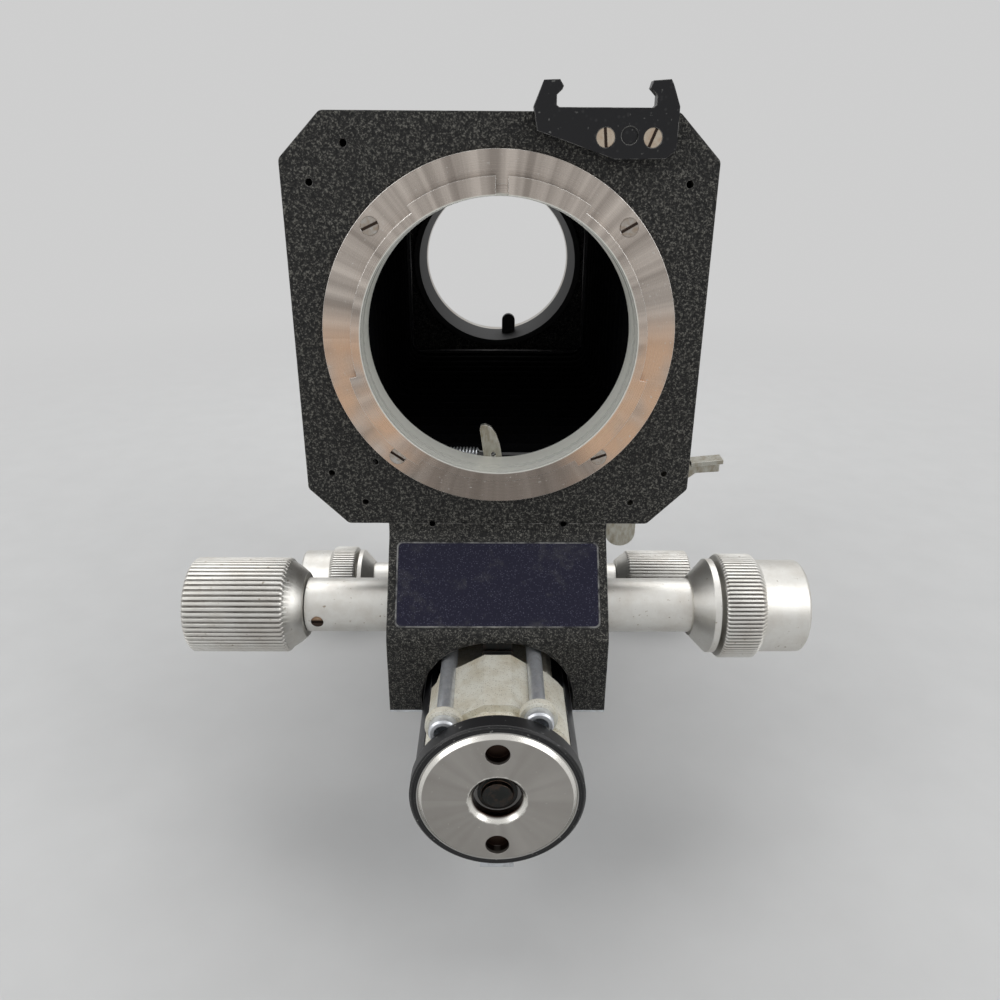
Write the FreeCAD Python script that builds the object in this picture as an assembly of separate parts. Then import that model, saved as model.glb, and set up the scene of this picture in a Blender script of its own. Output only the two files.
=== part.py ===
import FreeCAD, Part
import math
import os

# Macro bellows unit. Millimetres. +Z up, +X to the right seen from the lens side,
# +Y from the lens side to the camera side. The origin is the mouth of the tripod
# socket, on the flat base of the carriage.

# Driving dimensions
RAIL_Z = 36.8
LENS_Z = 106.5
FLANGE_Y = -61.0
THROAT_R = 23.2
CLEARANCE = 0.05

# Rack and pinion, the same pair on both shafts
MODULE = 0.8
PINION_TEETH = 10
PITCH_R = MODULE * PINION_TEETH / 2
ADDENDUM = 0.7
DEDENDUM = 0.9
PRESSURE = math.radians(28.0)
BACKLASH = 0.05
TOOTH_PITCH = math.pi * MODULE
PINION_HALF_W = 2.8
UPPER_RACK_FRONT_Y = -72.0
UPPER_RACK_REAR_Y = 14.0
KEEL_TEETH_FRONT_Y = -31.0
KEEL_TEETH_REAR_Y = 37.0

# Rail
TUBE_R = 14.3
TUBE_WALL = 1.7
CORE_R = TUBE_R - TUBE_WALL
CORE_TOP_Z = RAIL_Z + 8.2
TUBE_EDGE_Z = RAIL_Z + 7.0
RAIL_FRONT_Y = -91.4
RAIL_REAR_Y = 53.0
END_BLOCK_REAR_Y = -73.5
END_BLOCK_FRONT_Y = -88.2
LEFT_ROD = (-9.0, RAIL_Z + 10.9, 1.5)
RIGHT_ROD = (6.8, RAIL_Z + 12.5, 1.4)
FERRULE_R = 2.5
FERRULE_LENGTH = 3.2
BOSS_R = 3.2
BOSS_LENGTH = 1.4
CAP_R = 14.8
CAP_LENGTH = 2.9
DISC_R = 13.35
DISC_PROUD = 0.6
DISC_BORE_R = 4.1
DISC_MOUTH_R = 4.95
DISC_SEAT = 1.7
CAP_SCREW_R = 1.5
CAP_SCREW_DEPTH = 8.0
SPANNER_OFFSET = 9.6
SPANNER_R = 2.05

# Shafts and knobs
SHAFT_R = 2.0
FRONT_SHAFT_Y = -58.0
FRONT_SHAFT_Z = RAIL_Z + 15.9
CARRIAGE_SHAFT_Y = 28.0
CARRIAGE_SHAFT_Z = 11.4
KNOB_END_X = 59.9
KNOB_R = 9.3
KNOB_GRIP_LENGTH = 19.2
KNOB_CONE_LENGTH = 3.1
KNOB_BEVEL = 0.6
KNOB_NECK_R = 6.4
KNOB_DISH_R = KNOB_R - 2.2
LOCK_RING_R = 10.3
LOCK_RING_LENGTH = 7.9
LOCK_RING_BEVEL = 0.5
LOCK_END_R = 9.1
LOCK_END_LENGTH = 8.7
LOCK_GAP = 0.8
COLLAR_LENGTH = 4.5
COLLAR_R = 9.3
HOUSING_R = 5.3
KNOB_FLUTES = 40
FLUTE_DEPTH = 0.45
LOCK_SCREW_R = 2.2
SHAFT_SEAT = 5.0
TUBE_SCREW_X = -35.0
TUBE_SCREW_R = 1.2
TUBE_SCREW_TURN = 100.0

# Lens standard
PLATE_HALF_W = 35.0
PLATE_TOP_Z = LENS_Z + 35.3
PLATE_BOTTOM_Z = LENS_Z - 34.9
PLATE_CHAMFER = 7.0
PLATE_CORNER_R = 1.2
PLATE_FRONT_Y = FLANGE_Y + 0.8
PLATE_T = 2.2
FRAME_REAR_Y = -50.0
FRAME_WALL = 1.8
FLANGE_R = 30.0
FLANGE_T = 2.4
MOUNT_PROUD = 3.2
LUG_R = 26.1
LUG_T = 1.1
LUG_SPANS = ((56.5, 124.0), (193.5, 237.0), (303.0, 345.5))
NOTCH_LEFT_X = -0.65
NOTCH_RIGHT_X = 1.35
NECK_R = 24.8
FLANGE_SCREW_R = 1.5
SCREW_CIRCLE_R = 27.9
FLANGE_SCREWS = ((41.0, 30.0), (139.0, 25.0), (229.5, -35.0), (310.5, 20.0))
SCREW_SINK = 0.7
BORE_REAR_R = 22.8
HOLE_R = 0.6
HOLE_CIRCLE_R = 39.3
HOLE_ANGLES = (39.2, 51.2)
FOOT_HOLE_X = 12.35
FOOT_HOLE_Z = PLATE_BOTTOM_Z - 0.15
PIVOT_HOLE = (-22.4, LENS_Z - 22.7)
BLOCK_HALF_W = 20.5
BLOCK_FRONT_Y = -72.0
BLOCK_REAR_Y = -44.0
BLOCK_BOTTOM_Z = RAIL_Z + 0.9
SLOPE_TOP_Z = PLATE_BOTTOM_Z - 2.1
SLOPE_BOTTOM_Z = RAIL_Z + 16.8
BLOCK_SHOULDER_Z = 62.0
BLOCK_BACK_Z = 68.2
COVE_R = 4.0
CREASE_R = 5.0
ARCH_HALF_W = 14.4
ARCH_TOP = 15.8
ARCH_CORNER_R = 12.4
STRIP_T = 0.4
SHOE_FRONT_Y = -54.5
SHOE_REAR_Y = -44.5

# Aperture actuator, a sheet ring that turns about the lens axis
COLLAR_GUIDE_R = 26.0
ACTUATOR_R = 29.2
SHEET_T = 0.9
SPRING_Z = LENS_Z - 22.4
SPRING_Y = PLATE_FRONT_Y + PLATE_T + 2.4
SPRING_R = 1.05
SPRING_LEFT_X = -12.4
SPRING_RIGHT_X = -3.6
ANCHOR_R = 0.8

# Accessory clip on the plate's top edge
CLIP_REAR_Y = PLATE_FRONT_Y
CLIP_FRONT_Y = PLATE_FRONT_Y - 2.2
CLIP_SCREW_Z = PLATE_TOP_Z - 3.7
CLIP_SCREWS = ((16.3, 96.0), (23.6, 68.0))
CLIP_SCREW_R = 1.45
CLIP_RIVET = (20.0, PLATE_TOP_Z - 3.4)
CLIP_RIVET_R = 1.3

# Camera standard
CAMERA_FRAME_HALF_W = 30.0
CAMERA_FRAME_FRONT_Y = 40.0
CAMERA_FRAME_REAR_Y = 51.0
PEDESTAL_FRONT_Y = 38.0
PEDESTAL_HALF_W = 18.0
PEDESTAL_FOOT_Z = 55.0
PEDESTAL_SHOULDER_Z = 60.0
PEDESTAL_BACK_Z = 66.0
CAMERA_BORE_R = 20.8
CAMERA_TUBE_R = 24.0
CAMERA_NECK_R = 25.5
CAMERA_FLANGE_R = 27.2
CAMERA_FLANGE_FRONT_Y = CAMERA_FRAME_REAR_Y + 1.1
CAMERA_FLANGE_REAR_Y = CAMERA_FRAME_REAR_Y + 2.4
CAMERA_REGISTER_Y = CAMERA_FRAME_REAR_Y + 4.6
BREECH_R = 32.0
BREECH_MOUTH_R = 26.3
BREECH_LUG_R = 24.6
BREECH_LUG_T = 1.6
BREECH_LUG_STARTS = (66.0, 186.0, 306.0)
BREECH_LUG_WIDTH = 48.0
BREECH_REAR_Y = 58.8

# Bellows
BELLOWS_FRONT_Y = FRAME_REAR_Y
BELLOWS_REAR_Y = 38.5
BELLOWS_OUT = 29.2
BELLOWS_IN = 24.4
BELLOWS_WALL = 0.7
BELLOWS_CHAMFER = 5.0
PLEATS = 15

# Carriage
CARRIAGE_FRONT_Y = -28.0
CARRIAGE_REAR_Y = 38.0
CARRIAGE_HALF_W = 19.0
CARRIAGE_SHOULDER_Z = 24.0
CARRIAGE_TOP_Z = 31.0
CRADLE_R = TUBE_R + 0.1
KEEL_HALF_W = 3.1
KEEL_NECK_HALF_W = 2.2
KEEL_FOOT_TOP_Z = RAIL_Z - 18.3
KEEL_FRONT_Y = -88.0
KEEL_REAR_Y = 52.0
GIB_HALF_W = 6.0
SOCKET_R = 2.6
SOCKET_DEPTH = 9.0
BUSH_R = 6.0

V = FreeCAD.Vector


# Building helpers

def block(x0, x1, y0, y1, z0, z1):
    return Part.makeBox(x1 - x0, y1 - y0, z1 - z0, V(x0, y0, z0))


def cylinder_x(r, y, z, x0, x1):
    return Part.makeCylinder(r, x1 - x0, V(x0, y, z), V(1, 0, 0))


def cylinder_y(r, x, z, y0, y1):
    return Part.makeCylinder(r, y1 - y0, V(x, y0, z), V(0, 1, 0))


def cylinder_z(r, x, y, z0, z1):
    return Part.makeCylinder(r, z1 - z0, V(x, y, z0), V(0, 0, 1))


def ring_y(r_out, r_in, x, z, y0, y1):
    return cylinder_y(r_out, x, z, y0, y1).cut(cylinder_y(r_in, x, z, y0, y1))


def ring_x(r_out, r_in, y, z, x0, x1):
    return cylinder_x(r_out, y, z, x0, x1).cut(cylinder_x(r_in, y, z, x0, x1))


def prism(points, direction):
    wire = Part.makePolygon(points + [points[0]])
    return Part.Face(wire).extrude(direction)


def prism_y(outline, y0, y1):
    return prism([V(x, y0, z) for x, z in outline], V(0, y1 - y0, 0))


def prism_x(outline, x0, x1):
    return prism([V(x0, y, z) for y, z in outline], V(x1 - x0, 0, 0))


def revolve_x(profile, y, z):
    """Turn a closed profile of (x, radius) points about the line through (y, z)."""
    points = [V(x, y, z + r) for x, r in profile]
    face = Part.Face(Part.makePolygon(points + [points[0]]))
    return face.revolve(V(0, y, z), V(1, 0, 0), 360)


def revolve_y(profile, x, z):
    """Turn a closed profile of (y, radius) points about the line through (x, z)."""
    points = [V(x, y, z + r) for y, r in profile]
    face = Part.Face(Part.makePolygon(points + [points[0]]))
    return face.revolve(V(x, 0, z), V(0, 1, 0), 360)


def banded_solid(rings):
    """Closed solid of flat bands between rings that have matching points."""
    faces = [Part.Face(Part.makePolygon(ring + [ring[0]])) for ring in (rings[0], rings[-1])]
    for ring, following in zip(rings, rings[1:]):
        for i in range(len(ring)):
            j = (i + 1) % len(ring)
            corners = [ring[i], ring[j], following[j], following[i], ring[i]]
            faces.append(Part.Face(Part.makePolygon(corners)))
    shell = Part.Shell(faces)
    shell.sewShape()
    solid = Part.Solid(shell)
    if solid.Volume < 0:
        solid.reverse()
    return solid


def octagon(half_w, z_low, z_high, chamfer):
    return [
        (-half_w, z_low + chamfer),
        (-half_w, z_high - chamfer),
        (-half_w + chamfer, z_high),
        (half_w - chamfer, z_high),
        (half_w, z_high - chamfer),
        (half_w, z_low + chamfer),
        (half_w - chamfer, z_low),
        (-half_w + chamfer, z_low),
    ]


def around_lens(radius, degrees):
    """Point (x, z) at an angle about the lens axis, counted from +X towards +Z."""
    a = math.radians(degrees)
    return radius * math.cos(a), LENS_Z + radius * math.sin(a)


def corner_arc(before, corner, radius, after):
    """Start, middle and end of the arc that rounds a corner."""
    back = (before - corner).normalize()
    ahead = (after - corner).normalize()
    half = back.getAngle(ahead) / 2
    reach = radius / math.tan(half)
    middle = corner + (back + ahead).normalize() * (radius / math.sin(half) - radius)
    return corner + back * reach, middle, corner + ahead * reach


def rounded_face(corners):
    """Flat face from (point, radius) corners. A radius of 0 leaves the corner sharp."""
    arcs = []
    for i, (corner, radius) in enumerate(corners):
        before = corners[i - 1][0]
        after = corners[(i + 1) % len(corners)][0]
        arcs.append(corner_arc(before, corner, radius, after) if radius else (corner, None, corner))
    edges = []
    for i, (start, middle, end) in enumerate(arcs):
        edges.append(Part.makeLine(arcs[i - 1][2], start))
        if middle:
            edges.append(Part.Arc(start, middle, end).toShape())
    return Part.Face(Part.Wire(edges))


def rounded_octagon(half_w, z_low, z_high, chamfer, radius, y0, y1):
    outline = octagon(half_w, z_low, z_high, chamfer)
    face = rounded_face([(V(x, y0, z), radius) for x, z in outline])
    return face.extrude(V(0, y1 - y0, 0))


def fuse(*shapes):
    joined = shapes[0].multiFuse(list(shapes[1:]))
    return joined.removeSplitter()


def mirror_x(shape):
    return shape.mirror(V(0, 0, 0), V(1, 0, 0))


# Gears

def involute(angle):
    return math.tan(angle) - angle


def pinion(y, z, up):
    """Involute pinion about a line along X. One tooth points at its rack."""
    base_r = PITCH_R * math.cos(PRESSURE)
    tip_r = PITCH_R + ADDENDUM
    root_r = PITCH_R - DEDENDUM
    half_tooth = math.pi / 2 / PINION_TEETH - BACKLASH / PITCH_R
    flank_steps = 3
    flank = [(root_r, half_tooth + involute(PRESSURE))]
    for i in range(flank_steps + 1):
        r = base_r + (tip_r - base_r) * i / flank_steps
        at_r = involute(math.acos(min(1.0, base_r / r)))
        flank.append((r, half_tooth + involute(PRESSURE) - at_r))
    points = []
    start = math.pi / 2 if up else -math.pi / 2
    for tooth in range(PINION_TEETH):
        centre = start + 2 * math.pi * tooth / PINION_TEETH
        rising = [(r, centre - a) for r, a in flank]
        falling = [(r, centre + a) for r, a in reversed(flank)]
        for r, a in rising + falling:
            points.append((y + r * math.cos(a), z + r * math.sin(a)))
    body = prism_x(points, -PINION_HALF_W, PINION_HALF_W)
    return body.cut(cylinder_x(SHAFT_R, y, z, -PINION_HALF_W, PINION_HALF_W))


def rack_outline(y0, y1, gap_y, pitch_z, back_z):
    """Rack teeth in the (y, z) plane, with the middle of a gap at gap_y."""
    toward = 1 if pitch_z > back_z else -1
    tip_z = pitch_z + toward * ADDENDUM
    root_z = pitch_z - toward * DEDENDUM
    half_tooth = TOOTH_PITCH / 4 - BACKLASH
    half_tip = half_tooth - ADDENDUM * math.tan(PRESSURE)
    half_root = half_tooth + DEDENDUM * math.tan(PRESSURE)
    outline = [(y0, back_z), (y0, root_z)]
    first = math.ceil((y0 + half_root - gap_y) / TOOTH_PITCH - 0.5)
    tooth_y = gap_y + (first + 0.5) * TOOTH_PITCH
    while tooth_y + half_root < y1:
        outline.append((tooth_y - half_root, root_z))
        outline.append((tooth_y - half_tip, tip_z))
        outline.append((tooth_y + half_tip, tip_z))
        outline.append((tooth_y + half_root, root_z))
        tooth_y += TOOTH_PITCH
    return outline + [(y1, root_z), (y1, back_z)]


# Knobs, built for the +X side

def fluted_grip(radius, y, z, x0, x1, bevel_in, bevel_out):
    """Grip with straight flutes all round and a bevel at both ends."""
    stations = [
        (x0, radius - bevel_in),
        (x0 + bevel_in, radius),
        (x1 - bevel_out, radius),
        (x1, radius - bevel_out),
    ]
    rings = []
    for x, crest in stations:
        ring = []
        for i in range(2 * KNOB_FLUTES):
            r = crest * (1.0 - FLUTE_DEPTH / radius if i % 2 else 1.0)
            a = math.pi * i / KNOB_FLUTES
            ring.append(V(x, y + r * math.cos(a), z + r * math.sin(a)))
        rings.append(ring)
    return banded_solid(rings)


def drive_knob(y, z):
    grip_x = KNOB_END_X - KNOB_GRIP_LENGTH
    neck_x = grip_x - KNOB_CONE_LENGTH
    grip = fluted_grip(KNOB_R, y, z, grip_x, KNOB_END_X, KNOB_BEVEL, KNOB_BEVEL)
    cone = revolve_x([
        (neck_x, 0),
        (neck_x, KNOB_NECK_R),
        (grip_x - 1.5, KNOB_R - 1.6),
        (grip_x, KNOB_R - KNOB_BEVEL),
        (grip_x, 0),
    ], y, z)
    dish = cylinder_x(KNOB_DISH_R, y, z, KNOB_END_X - 0.5, KNOB_END_X)
    bore = cylinder_x(SHAFT_R, y, z, neck_x, KNOB_END_X - SHAFT_SEAT)
    return fuse(grip, cone).cut([dish, bore])


def drive_shaft(y, z):
    return cylinder_x(SHAFT_R, y, z, -BLOCK_HALF_W + 0.5, KNOB_END_X - SHAFT_SEAT)


def lock_knob(y, z):
    end_x = KNOB_END_X - LOCK_END_LENGTH
    ring_x0 = end_x - LOCK_RING_LENGTH
    ring = fluted_grip(LOCK_RING_R, y, z, ring_x0, end_x, LOCK_RING_BEVEL, LOCK_RING_R - LOCK_END_R)
    end = revolve_x([
        (end_x, 0),
        (end_x, LOCK_END_R),
        (KNOB_END_X - 0.8, LOCK_END_R),
        (KNOB_END_X, LOCK_END_R - 0.8),
        (KNOB_END_X, 0),
    ], y, z)
    neck = cylinder_x(KNOB_NECK_R, y, z, ring_x0 - LOCK_GAP + 0.1, ring_x0)
    bore = cylinder_x(LOCK_SCREW_R, y, z, ring_x0 - LOCK_GAP, end_x)
    return fuse(ring, end, neck).cut(bore)


def lock_screw(y, z):
    end_x = KNOB_END_X - LOCK_END_LENGTH
    return cylinder_x(LOCK_SCREW_R, y, z, BLOCK_HALF_W + 0.8, end_x)


def lock_collar(y, z):
    rear_x = KNOB_END_X - LOCK_END_LENGTH - LOCK_RING_LENGTH - LOCK_GAP
    front_x = rear_x - COLLAR_LENGTH
    outside = revolve_x([
        (front_x, 0),
        (front_x, HOUSING_R + 0.6),
        (rear_x - 1.2, COLLAR_R),
        (rear_x, COLLAR_R),
        (rear_x, 0),
    ], y, z)
    return outside.cut(cylinder_x(HOUSING_R, y, z, front_x, rear_x))


def lock_housing(y, z, side_x):
    rear_x = KNOB_END_X - LOCK_END_LENGTH - LOCK_RING_LENGTH - LOCK_GAP
    return ring_x(HOUSING_R, LOCK_SCREW_R + CLEARANCE, y, z, side_x, rear_x)


def drive_housing(y, z, side_x):
    neck_x = KNOB_END_X - KNOB_GRIP_LENGTH - KNOB_CONE_LENGTH
    return ring_x(HOUSING_R, SHAFT_R + CLEARANCE, y, z, side_x, neck_x - 0.2)


# Carriage

def carriage_body():
    outline = [
        (-CARRIAGE_HALF_W, 1.0),
        (-CARRIAGE_HALF_W, CARRIAGE_SHOULDER_Z),
        (-CARRIAGE_HALF_W + 2.5, CARRIAGE_TOP_Z),
        (CARRIAGE_HALF_W - 2.5, CARRIAGE_TOP_Z),
        (CARRIAGE_HALF_W, CARRIAGE_SHOULDER_Z),
        (CARRIAGE_HALF_W, 1.0),
        (CARRIAGE_HALF_W - 1.0, 0.0),
        (-CARRIAGE_HALF_W + 1.0, 0.0),
    ]
    y0 = CARRIAGE_FRONT_Y
    y1 = CARRIAGE_REAR_Y
    body = prism_y(outline, y0, y1)
    channel_z = CARRIAGE_SHAFT_Z + PITCH_R - ADDENDUM - 0.3
    cuts = [
        cylinder_y(CRADLE_R, 0, RAIL_Z, y0, y1),
        block(-KEEL_HALF_W - 0.15, KEEL_HALF_W + 0.15, y0, y1, channel_z, RAIL_Z),
        block(-GIB_HALF_W, GIB_HALF_W, y0, y1, KEEL_FOOT_TOP_Z + 0.1, RAIL_Z),
        cylinder_x(PITCH_R + ADDENDUM + 0.6, CARRIAGE_SHAFT_Y, CARRIAGE_SHAFT_Z,
                   -PINION_HALF_W - 0.4, PINION_HALF_W + 0.4),
        cylinder_x(SHAFT_R + CLEARANCE, CARRIAGE_SHAFT_Y, CARRIAGE_SHAFT_Z,
                   -CARRIAGE_HALF_W - 1, CARRIAGE_HALF_W + 1),
        cylinder_z(BUSH_R, 0, 0, 0, SOCKET_DEPTH),
    ]
    return body.cut(cuts)


def gib():
    """Strip on the +X side that holds the keel's foot down."""
    top_z = RAIL_Z - CRADLE_R - 0.1
    return block(KEEL_NECK_HALF_W + 0.1, GIB_HALF_W, CARRIAGE_FRONT_Y, CARRIAGE_REAR_Y,
                 KEEL_FOOT_TOP_Z + 0.1, top_z)


def tripod_bush():
    bush = cylinder_z(BUSH_R, 0, 0, 0, SOCKET_DEPTH)
    return bush.cut(cylinder_z(SOCKET_R, 0, 0, 0, SOCKET_DEPTH))


# Rail

def rail_tube():
    tube = ring_y(TUBE_R, CORE_R, 0, RAIL_Z, RAIL_FRONT_Y, RAIL_REAR_Y)
    return tube.cut(block(-20, 20, RAIL_FRONT_Y, RAIL_REAR_Y, TUBE_EDGE_Z, RAIL_Z + 20))


def ridge_outline(drop):
    return [
        (-11.3, RAIL_Z + 8.3),
        (-10.6, RAIL_Z + 10.4 - drop),
        (-7.0, RAIL_Z + 11.8 - drop),
        (-2.4, RAIL_Z + 14.4 - drop),
        (2.4, RAIL_Z + 14.4 - drop),
        (5.6, RAIL_Z + 12.3 - drop),
        (9.0, RAIL_Z + 10.6 - drop),
        (11.3, RAIL_Z + 8.3),
        (12.3, TUBE_EDGE_Z),
        (-12.3, TUBE_EDGE_Z),
    ]


def rod_cylinder(rod, y0, y1, gap=0.0):
    x, z, r = rod
    return cylinder_y(r + gap, x, z, y0, y1)


def ferrule_cylinder(rod, gap=0.0):
    x, z, r = rod
    return cylinder_y(FERRULE_R + gap, x, z, RAIL_FRONT_Y, RAIL_FRONT_Y + FERRULE_LENGTH)


def rail_core():
    length = (RAIL_FRONT_Y, RAIL_REAR_Y)
    core = cylinder_y(CORE_R, 0, RAIL_Z, *length)
    core = core.cut(block(-20, 20, *length, CORE_TOP_Z, RAIL_Z + 20))
    ridge = prism_y(ridge_outline(0.0), END_BLOCK_FRONT_Y, END_BLOCK_REAR_Y)
    step = prism_y(ridge_outline(1.5), RAIL_FRONT_Y, END_BLOCK_FRONT_Y)
    bosses = [
        cylinder_y(BOSS_R, x, z, END_BLOCK_FRONT_Y - BOSS_LENGTH, END_BLOCK_FRONT_Y)
        for x, z, _ in (LEFT_ROD, RIGHT_ROD)
    ]
    core = core.multiFuse([ridge, step] + bosses)
    cuts = []
    for rod in (LEFT_ROD, RIGHT_ROD):
        cuts.append(rod_cylinder(rod, *length))
        cuts.append(ferrule_cylinder(rod))
    cuts.append(cylinder_y(CAP_SCREW_R, 0, RAIL_Z, RAIL_FRONT_Y, RAIL_FRONT_Y + CAP_SCREW_DEPTH))
    return core.cut(cuts)


def guide_rod(rod):
    x, z, r = rod
    y0 = RAIL_FRONT_Y
    y1 = PEDESTAL_FRONT_Y
    return revolve_y([
        (y0 + 2.0, 0),
        (y0 + 2.0, 1.6),
        (y0, 1.6),
        (y0, FERRULE_R - 0.3),
        (y0 + 0.3, FERRULE_R),
        (y0 + FERRULE_LENGTH, FERRULE_R),
        (y0 + FERRULE_LENGTH, r),
        (y1, r),
        (y1, 0),
    ], x, z)


def upper_rack():
    pitch_z = FRONT_SHAFT_Z - PITCH_R
    outline = rack_outline(UPPER_RACK_FRONT_Y, UPPER_RACK_REAR_Y, FRONT_SHAFT_Y, pitch_z, CORE_TOP_Z)
    return prism_x(outline, -PINION_HALF_W, PINION_HALF_W)


def keel_rack():
    pitch_z = CARRIAGE_SHAFT_Z + PITCH_R
    y0 = KEEL_FRONT_Y
    y1 = KEEL_REAR_Y
    teeth = prism_x(rack_outline(KEEL_TEETH_FRONT_Y, KEEL_TEETH_REAR_Y, CARRIAGE_SHAFT_Y,
                                 pitch_z, KEEL_FOOT_TOP_Z), -KEEL_HALF_W, KEEL_HALF_W)
    low_z = pitch_z - ADDENDUM
    nose = block(-KEEL_HALF_W, KEEL_HALF_W, y0, KEEL_TEETH_FRONT_Y, low_z, KEEL_FOOT_TOP_Z)
    tail = block(-KEEL_HALF_W, KEEL_HALF_W, KEEL_TEETH_REAR_Y, y1, low_z, KEEL_FOOT_TOP_Z)
    neck = block(-KEEL_NECK_HALF_W, KEEL_NECK_HALF_W, y0, y1, KEEL_FOOT_TOP_Z, RAIL_Z)
    neck = neck.cut(cylinder_y(TUBE_R, 0, RAIL_Z, y0, y1))
    return fuse(teeth, nose, tail, neck)


def cap_ring():
    front_y = RAIL_FRONT_Y - CAP_LENGTH
    ring = revolve_y([
        (front_y, DISC_R),
        (front_y, CAP_R - 0.3),
        (front_y + 0.3, CAP_R),
        (RAIL_FRONT_Y, CAP_R),
        (RAIL_FRONT_Y, CAP_SCREW_R),
        (front_y + DISC_SEAT, CAP_SCREW_R),
        (front_y + DISC_SEAT, DISC_R),
    ], 0, RAIL_Z)
    return ring


def cap_disc():
    seat_y = RAIL_FRONT_Y - CAP_LENGTH + DISC_SEAT
    face_y = RAIL_FRONT_Y - CAP_LENGTH - DISC_PROUD
    disc = revolve_y([
        (seat_y, DISC_BORE_R),
        (seat_y, DISC_R),
        (face_y + 0.7, DISC_R),
        (face_y, DISC_R - 0.7),
        (face_y, DISC_MOUTH_R),
        (face_y + DISC_MOUTH_R - DISC_BORE_R, DISC_BORE_R),
    ], 0, RAIL_Z)
    holes = [
        cylinder_y(SPANNER_R, 0, RAIL_Z + side * SPANNER_OFFSET, face_y, face_y + 1.8)
        for side in (-1, 1)
    ]
    return disc.cut(holes)


def cap_screw():
    seat_y = RAIL_FRONT_Y - CAP_LENGTH + DISC_SEAT
    return revolve_y([
        (RAIL_FRONT_Y + CAP_SCREW_DEPTH, 0),
        (RAIL_FRONT_Y + CAP_SCREW_DEPTH, CAP_SCREW_R),
        (seat_y, CAP_SCREW_R),
        (seat_y, 3.4),
        (seat_y - 0.5, 3.4),
        (seat_y - 0.5, 2.75),
        (seat_y - 1.3, 2.6),
        (seat_y - 1.8, 1.7),
        (seat_y - 2.0, 0),
    ], 0, RAIL_Z)


def rear_cap():
    return revolve_y([
        (RAIL_REAR_Y, 0),
        (RAIL_REAR_Y, TUBE_R),
        (RAIL_REAR_Y + 1.6, TUBE_R),
        (RAIL_REAR_Y + 2.2, TUBE_R - 0.6),
        (RAIL_REAR_Y + 2.2, 0),
    ], 0, RAIL_Z)


def camera_pedestal():
    low_z = BLOCK_BOTTOM_Z
    high_z = LENS_Z - CAMERA_FRAME_HALF_W
    outline = [
        (PEDESTAL_FRONT_Y, low_z),
        (RAIL_REAR_Y, low_z),
        (RAIL_REAR_Y, PEDESTAL_SHOULDER_Z),
        (CAMERA_FRAME_REAR_Y, PEDESTAL_BACK_Z),
        (CAMERA_FRAME_REAR_Y, high_z),
        (CAMERA_FRAME_FRONT_Y, high_z),
        (CAMERA_FRAME_FRONT_Y, PEDESTAL_SHOULDER_Z),
        (PEDESTAL_FRONT_Y, PEDESTAL_FOOT_Z),
    ]
    body = prism_x(outline, -PEDESTAL_HALF_W, PEDESTAL_HALF_W)
    y0 = PEDESTAL_FRONT_Y
    y1 = RAIL_REAR_Y
    rail = cylinder_y(TUBE_R, 0, RAIL_Z, y0, y1)
    rail = rail.cut(block(-20, 20, y0, y1, CORE_TOP_Z, RAIL_Z + 20))
    return body.cut(rail)


def camera_frame():
    low_z = LENS_Z - CAMERA_FRAME_HALF_W
    high_z = LENS_Z + CAMERA_FRAME_HALF_W
    y0 = CAMERA_FRAME_FRONT_Y
    y1 = CAMERA_FRAME_REAR_Y
    inner = CAMERA_FRAME_HALF_W - FRAME_WALL
    shell = prism_y(octagon(CAMERA_FRAME_HALF_W, low_z, high_z, PLATE_CHAMFER), y0, y1)
    hollow = prism_y(octagon(inner, low_z + FRAME_WALL, high_z - FRAME_WALL, PLATE_CHAMFER - 1),
                     y0, y1 - 3.0)
    hole = cylinder_y(CAMERA_TUBE_R, 0, LENS_Z, y0, y1)
    return shell.cut([hollow, hole])


def camera_mount():
    y1 = CAMERA_FRAME_REAR_Y
    return revolve_y([
        (y1 - 7.0, CAMERA_BORE_R + 1.6),
        (y1 - 7.0, CAMERA_TUBE_R),
        (y1, CAMERA_TUBE_R),
        (y1, CAMERA_NECK_R),
        (CAMERA_FLANGE_FRONT_Y, CAMERA_NECK_R),
        (CAMERA_FLANGE_FRONT_Y, CAMERA_FLANGE_R),
        (CAMERA_FLANGE_REAR_Y, CAMERA_FLANGE_R),
        (CAMERA_FLANGE_REAR_Y, CAMERA_TUBE_R),
        (CAMERA_REGISTER_Y, CAMERA_TUBE_R),
        (CAMERA_REGISTER_Y, CAMERA_BORE_R),
        (CAMERA_REGISTER_Y - 1.0, CAMERA_BORE_R),
    ], 0, LENS_Z)


def coupling_lug():
    low = LENS_Z - CAMERA_BORE_R - 2.0
    top = LENS_Z - 15.8
    x = 3.5
    half_w = 1.95
    y0 = CAMERA_FRAME_REAR_Y - 1.0
    y1 = y0 + 1.8
    tongue = block(x - half_w, x + half_w, y0, y1, low, top - half_w)
    tip = cylinder_y(half_w, x, top - half_w, y0, y1)
    return tongue.fuse(tip).cut(camera_mount())


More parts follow.
